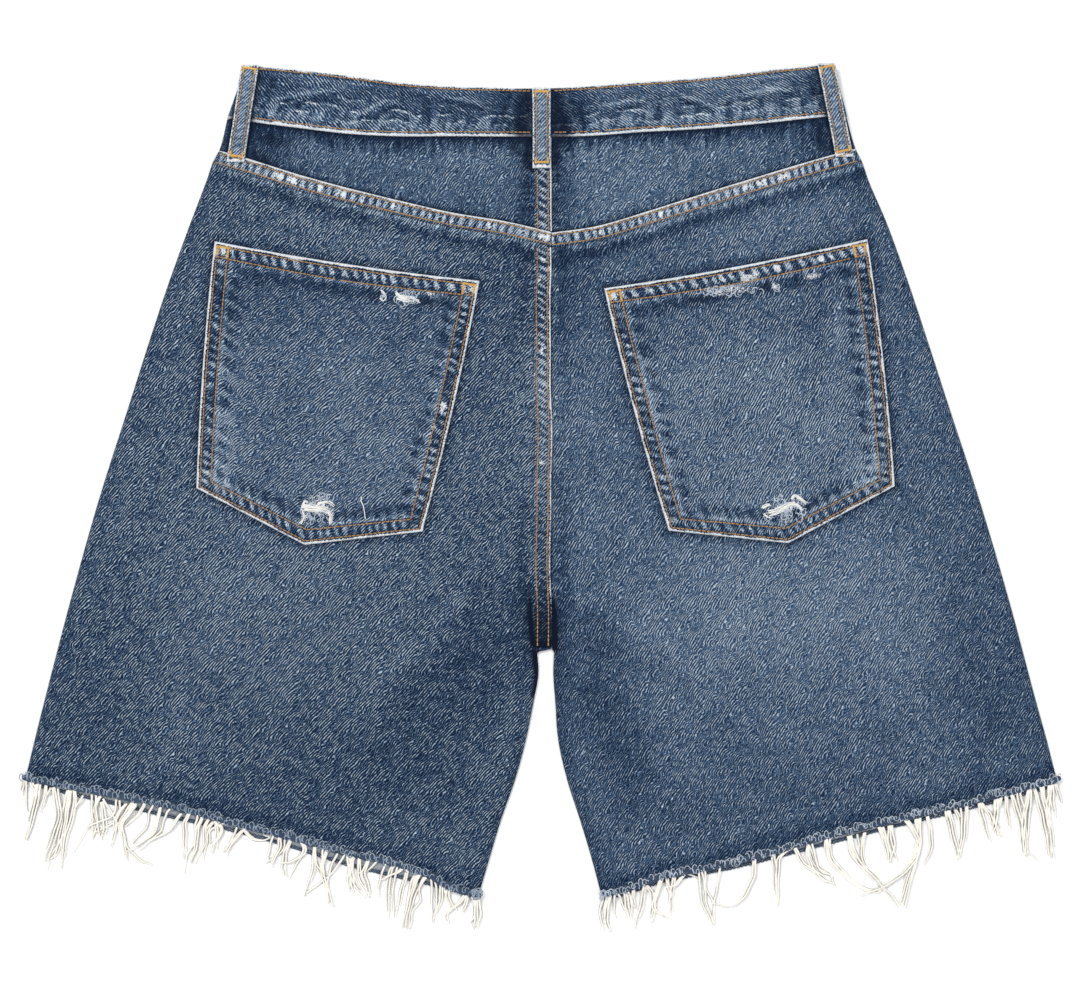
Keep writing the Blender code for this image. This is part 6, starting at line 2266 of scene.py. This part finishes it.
@dataclass
class Seamstress:
    """Sews every row and tack of the garment."""

    tailor: Tailor
    ground: BVHTree
    tan: Material
    gold: Material

    def build(self) -> None:
        """Sews the back's seams."""
        self.band()
        self.yokes()
        self.seat()
        for row in POCKETS:
            self.pocket(row)
        self.loops()

    def sewing(self, name: str) -> Sewing:
        """Starts a seam's rows."""
        return Sewing(name, self.tailor, self.tan, 0.42, ground=self.ground)

    def band(self) -> None:
        """Sews the waistband's two rows."""
        pattern = self.tailor.pattern
        seam = self.sewing("band_sewing")
        x = np.linspace(-198.5, 193.5, 130)
        over = np.abs(x - 0.1) > 6.6
        for part in (x < 0, x > 0):
            keep = x[part & over & (x > -189) & (x < 185)]
            top = pattern.waist_top(keep) - 1.7
            seam.row(zip(keep, top), 0.01)
            keep = x[part & over & (x > -188) & (x < 186)]
            low = pattern.waist_bottom(keep) + 2.9
            seam.row(zip(keep, low), 0.04)
        seam.finished()

    def yokes(self) -> None:
        """Sews the two rows of each yoke fell."""
        pattern = self.tailor.pattern
        for side in Side:
            seam = self.sewing(f"yoke_sewing_{side.word}")
            start = SEAT_X if side is Side.LEFT else SEAT_X + SEAM_GAP + 0.4
            x = np.linspace(start, side.value * 217.0, 90)
            for drop in (1.75, 8.0):
                y = pattern.yoke(side, x) - drop
                x_in = x[np.abs(x) < np.abs(pattern.fold[side](y)) - 1.0]
                seam.row(zip(x_in, y))
            seam.finished()

    def seat(self) -> None:
        """Sews the seat seam's two rows."""
        seam = self.sewing("seat_sewing")
        for fell, top, low in ((SEAT_UPPER, 212.0, 173.4), (SEAT_LOWER, 162.0, -96.8)):
            y = np.linspace(top, low, 60)
            for offset in SEAT_ROWS:
                x = SEAT_X - SEAT_FELL + offset + seat_lean(y, fell[0])
                seam.row(zip(x, y), 0.01)
        seam.finished()

    def pocket(self, row: PocketRow) -> None:
        """Sews a pocket's two rows and its corner tacks."""
        seam = self.sewing(f"{row.name}_sewing")
        share = np.linspace(0, 1, 40)
        half = POCKET_TOP / 2
        for inset, drop in ((2.5, 2.8), (9.5, 10.0)):
            in_top = 1 - inset / half
            in_low = 1 - inset / (POCKET_BOTTOM / 2)
            low = 1 - inset / (POCKET_SIDE + POCKET_POINT * 0.6)
            top = drop / (POCKET_SIDE + 4)
            x, y = pocket_place(row, mix(-1, 1, 0.012 + 0.976 * share), 0 * share + top)
            seam.row(zip(x, y), 0.01)
            for hand in (-1, 1):
                down = mix(top if inset < 5 else 0.016, low, share)
                x, y = pocket_place(row, hand * mix(in_top, in_low, down), down)
                seam.row(zip(x, y), 0.01)
                across = hand * mix(in_low, 0.0, share)
                x, y = pocket_place(row, across, 0 * share + low)
                seam.row(zip(x, y), 0.01)
        seam.finished()
        tacks = Sewing(f"{row.name}_tacks", self.tailor, self.gold, 0.33, ground=self.ground)
        for hand in (-1, 1):
            for inset, drop, turn, length in ((6.0, 2.9, 0, 8.6), (2.6, 5.8, 90, 4.6), (9.6, 6.4, 90, 6.4)):
                x, y = pocket_place(row, np.array(hand * (1 - inset / half)), np.array(drop / 166))
                tacks.tack(float(x), float(y), row.turn + turn, length, 1.5)
        tacks.finished()

    def loops(self) -> None:
        """Sews the belt loops' rows and tacks."""
        seam = self.sewing("loop_sewing")
        tacks = Sewing("loop_tacks", self.tailor, self.gold, 0.33, ground=self.ground)
        for row in LOOPS:
            dx, dy = row.bottom_x - row.top_x, row.bottom_y - row.top_y
            length = math.hypot(dx, dy)
            run, rise = dx / length, dy / length
            for offset in (-3.35, 3.35):
                path = []
                for along in np.linspace(2.6, length - 3.6, 30).tolist():
                    x = row.top_x + run * along - rise * offset
                    y = row.top_y + rise * along + run * offset
                    path.append((x, y))
                seam.row(path, 0.02)
            turn = math.degrees(math.atan2(rise, run)) + 90
            for along in (2.3, length - 4.0):
                x, y = row.top_x + run * along, row.top_y + rise * along
                tacks.tack(x, y, turn, 8.6, 1.6)
                for offset in (-3.9, 3.9):
                    toward = 1.6 if along < 20 else -1.0
                    px, py = x - rise * offset + run * toward, y + run * offset + rise * toward
                    tacks.tack(px, py, turn + 90, 3.2, 1.1)
        seam.finished()
        tacks.finished()


class Laid(NamedTuple):
    """A sheet of cloth: its name, what it lies on, and the pieces that are sewn or frayed on it."""

    name: str
    on: tuple[str, ...]
    pieces: tuple[str, ...] = ()


@dataclass
class Button:
    """The waist button, a domed copper disc with a stepped rim, set face down into the band."""

    tailor: Tailor
    finish: Material

    def build(self) -> Object:
        """Turns the button from its section."""
        bm = bmesh.new()
        section = ((0, 0.16), (3.2, 0.18), (4.6, 0.30), (5.2, 0.46), (6.2, 0.46), (6.8, 0.22), (7.8, 0.10))
        section += ((8.4, 0.22), (8.5, 0.55), (8.2, 0.80), (4.0, 0.80), (0, 0.80))
        points = [bm.verts.new((radius * MM, 0, height * MM)) for radius, height in section]
        for start, end in zip(points, points[1:]):
            bm.edges.new((start, end))
        bmesh.ops.spin(
            bm, geom=bm.verts[:] + bm.edges[:], axis=(0, 0, 1), cent=(0, 0, 0), steps=40,
            angle=2 * math.pi, use_merge=True,
        )
        bmesh.ops.remove_doubles(bm, verts=bm.verts, dist=1e-6)
        bmesh.ops.recalc_face_normals(bm, faces=bm.faces)
        at = (BUTTON_X * MM, (BUTTON_Y + OFFSET_Y) * MM, 0)
        bmesh.ops.translate(bm, vec=at, verts=bm.verts)
        for face in bm.faces:
            face.smooth = True
        made = self.tailor.piece("waist_button", bm, self.finish)
        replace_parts(made, "button")
        return made


# The studio


@dataclass
class Studio:
    """The pale floor, the soft lights and the camera straight overhead."""

    scale: float = 0.65  # millimetres of garment to one pixel of a 1080-pixel-wide frame
    width: int = 1080
    centre: tuple[float, float] = (-0.98, 2.83)
    lens: float = 85.0
    sensor: float = 36.0

    def floor(self) -> None:
        """Lays the floor."""
        bm = bmesh.new()
        bmesh.ops.create_grid(bm, x_segments=1, y_segments=1, size=4.0)
        bmesh.ops.translate(bm, vec=(0, 0, -0.0003), verts=bm.verts)
        mesh = bpy.data.meshes.new("floor")
        bm.to_mesh(mesh)
        bm.free()
        looks = Looks("floor", Base_Color=(0.93, 0.93, 0.93, 1.0), Roughness=0.9, Specular_IOR_Level=0.1)
        mesh.materials.append(looks.material)
        floor = bpy.data.objects.new("floor", mesh)
        bpy.context.scene.collection.objects.link(floor)

    def lamp(self, name: str, at: tuple, size: float, power: float, colour: tuple) -> None:
        """Hangs a square soft lamp that looks at the garment's middle.

        Args:
            name: The lamp's name.
            at: Where it hangs, in metres.
            size: Its side, in metres.
            power: Watts.
            colour: Its light's colour.
        """
        light = bpy.data.lights.new(name, "AREA")
        light.shape = "SQUARE"
        light.size = size
        light.energy = power
        light.color = colour
        lamp = bpy.data.objects.new(name, light)
        lamp.location = at
        lamp.rotation_euler = Vector(at).to_track_quat("Z", "Y").to_euler()
        bpy.context.scene.collection.objects.link(lamp)

    def light(self) -> None:
        """Sets the lamps and the surrounding light."""
        self.lamp("key", (-1.15, 1.3, 2.4), 1.0, 56, (1.0, 0.985, 0.96))
        self.lamp("fill", (1.3, -0.7, 2.6), 2.2, 30, (0.95, 0.975, 1.0))
        world = bpy.data.worlds.new("studio")
        world.use_nodes = True
        world.node_tree.nodes["Background"].inputs["Color"].default_value = (0.97, 0.98, 1.0, 1.0)
        world.node_tree.nodes["Background"].inputs["Strength"].default_value = 0.62
        bpy.context.scene.world = world

    def camera(self) -> None:
        """Sets the camera, with the garment as large as it is in the frame."""
        settings = bpy.data.cameras.new("camera")
        settings.lens = self.lens
        settings.sensor_width = self.sensor
        settings.sensor_fit = "HORIZONTAL"
        camera = bpy.data.objects.new("camera", settings)
        distance = self.width * self.scale * self.lens / self.sensor
        camera.location = (self.centre[0] * MM, self.centre[1] * MM, (distance + 3.0) * MM)
        bpy.context.scene.collection.objects.link(camera)
        bpy.context.scene.camera = camera

    def build(self) -> None:
        """Sets everything round the garment."""
        self.camera()
        self.floor()
        self.light()
        bpy.context.scene.view_settings.view_transform = "Standard"


def main() -> None:
    """Dresses the garment piece by piece."""
    logging.basicConfig(level=logging.INFO, format="%(message)s")
    Studio().build()
    tailor = Tailor()
    left = DenimFinish("denim_left", 47.0, 0.84, 6.0, 8.0).material()
    right = DenimFinish("denim_right", 58.0, 0.64, 8.0, 10.0, grit=0.9).material()
    band = DenimFinish("denim_band", -38.0, 0.64, 6.0, 8.0, grit=0.85).material()
    upper = DenimFinish("denim_yoke", 54.0, 0.56, 9.0, 13.0, grit=0.8).material()
    for side, wash in ((Side.LEFT, left), (Side.RIGHT, right)):
        BackLeg(side, tailor, wash).build()
        Yoke(side, tailor, upper).build()
        YokeFell(side, tailor, wash).build()
    SeatFell("seat_fell_upper", *SEAT_UPPER, tailor, left).build()
    SeatFell("seat_fell_lower", *SEAT_LOWER, tailor, left).build()
    waist = Waistband(tailor, band)
    waist.build()
    pocket = DenimFinish("denim_pocket", 50.0, 0.72, 6.0, 9.0, grit=0.9).material()
    loop = DenimFinish("denim_loop", 47.0, 0.54, 2.0, 2.0, 0.0016, 0.8).material()
    for row in POCKETS:
        BackPocket(row, tailor, pocket).build()
    for row in LOOPS:
        BeltLoop(row, tailor, loop).build()
    for side in Side:
        front = Front(side, tailor, left)
        front.front()
        front.facing()
        front.loop(waist)
    Front(Side.LEFT, tailor, left).fly()
    blue = YarnFinish("hem_yarn", (0.008, 0.018, 0.042), (0.055, 0.095, 0.165)).material()
    curls = {
        Side.LEFT: YarnFinish("weft_curls_left", (0.05, 0.10, 0.18), (0.46, 0.54, 0.63), 1.2).material(),
        Side.RIGHT: YarnFinish("weft_curls_right", (0.08, 0.14, 0.23), (0.62, 0.68, 0.75), 1.2).material(),
    }
    cotton = YarnFinish("loose_cotton", (0.74, 0.70, 0.63), (0.96, 0.94, 0.88)).material()
    for side in Side:
        HemRoll(side, "back", tailor, blue, curls[side]).build()
        HemRoll(side, "front", tailor, blue, curls[side]).build()
    # Dark grey yarn for the loose threads' painted shadows.
    grey = YarnFinish("shaded_fibres", (0.10, 0.10, 0.10), (0.34, 0.32, 0.29)).material()
    Fringe(tailor, cotton, grey).build()
    Button(tailor, CopperFinish().material()).build()
    tan = YarnFinish("tan_thread", (0.20, 0.10, 0.032), (0.56, 0.31, 0.11), 0.4).material()
    gold = YarnFinish("gold_thread", (0.48, 0.24, 0.04), (0.88, 0.55, 0.15), 0.4).material()
    ground = heights(tailor.tops)
    Seamstress(tailor, ground, tan, gold).build()
    weft = YarnFinish("hole_cotton", (0.56, 0.55, 0.53), (0.93, 0.91, 0.86), 0.7).material()
    tuft = YarnFinish("hole_tuft", (0.16, 0.24, 0.35), (0.66, 0.71, 0.77), 1.0).material()
    Fraying(tailor, ground, weft, tuft).build()


if __name__ == "__main__":
    main()
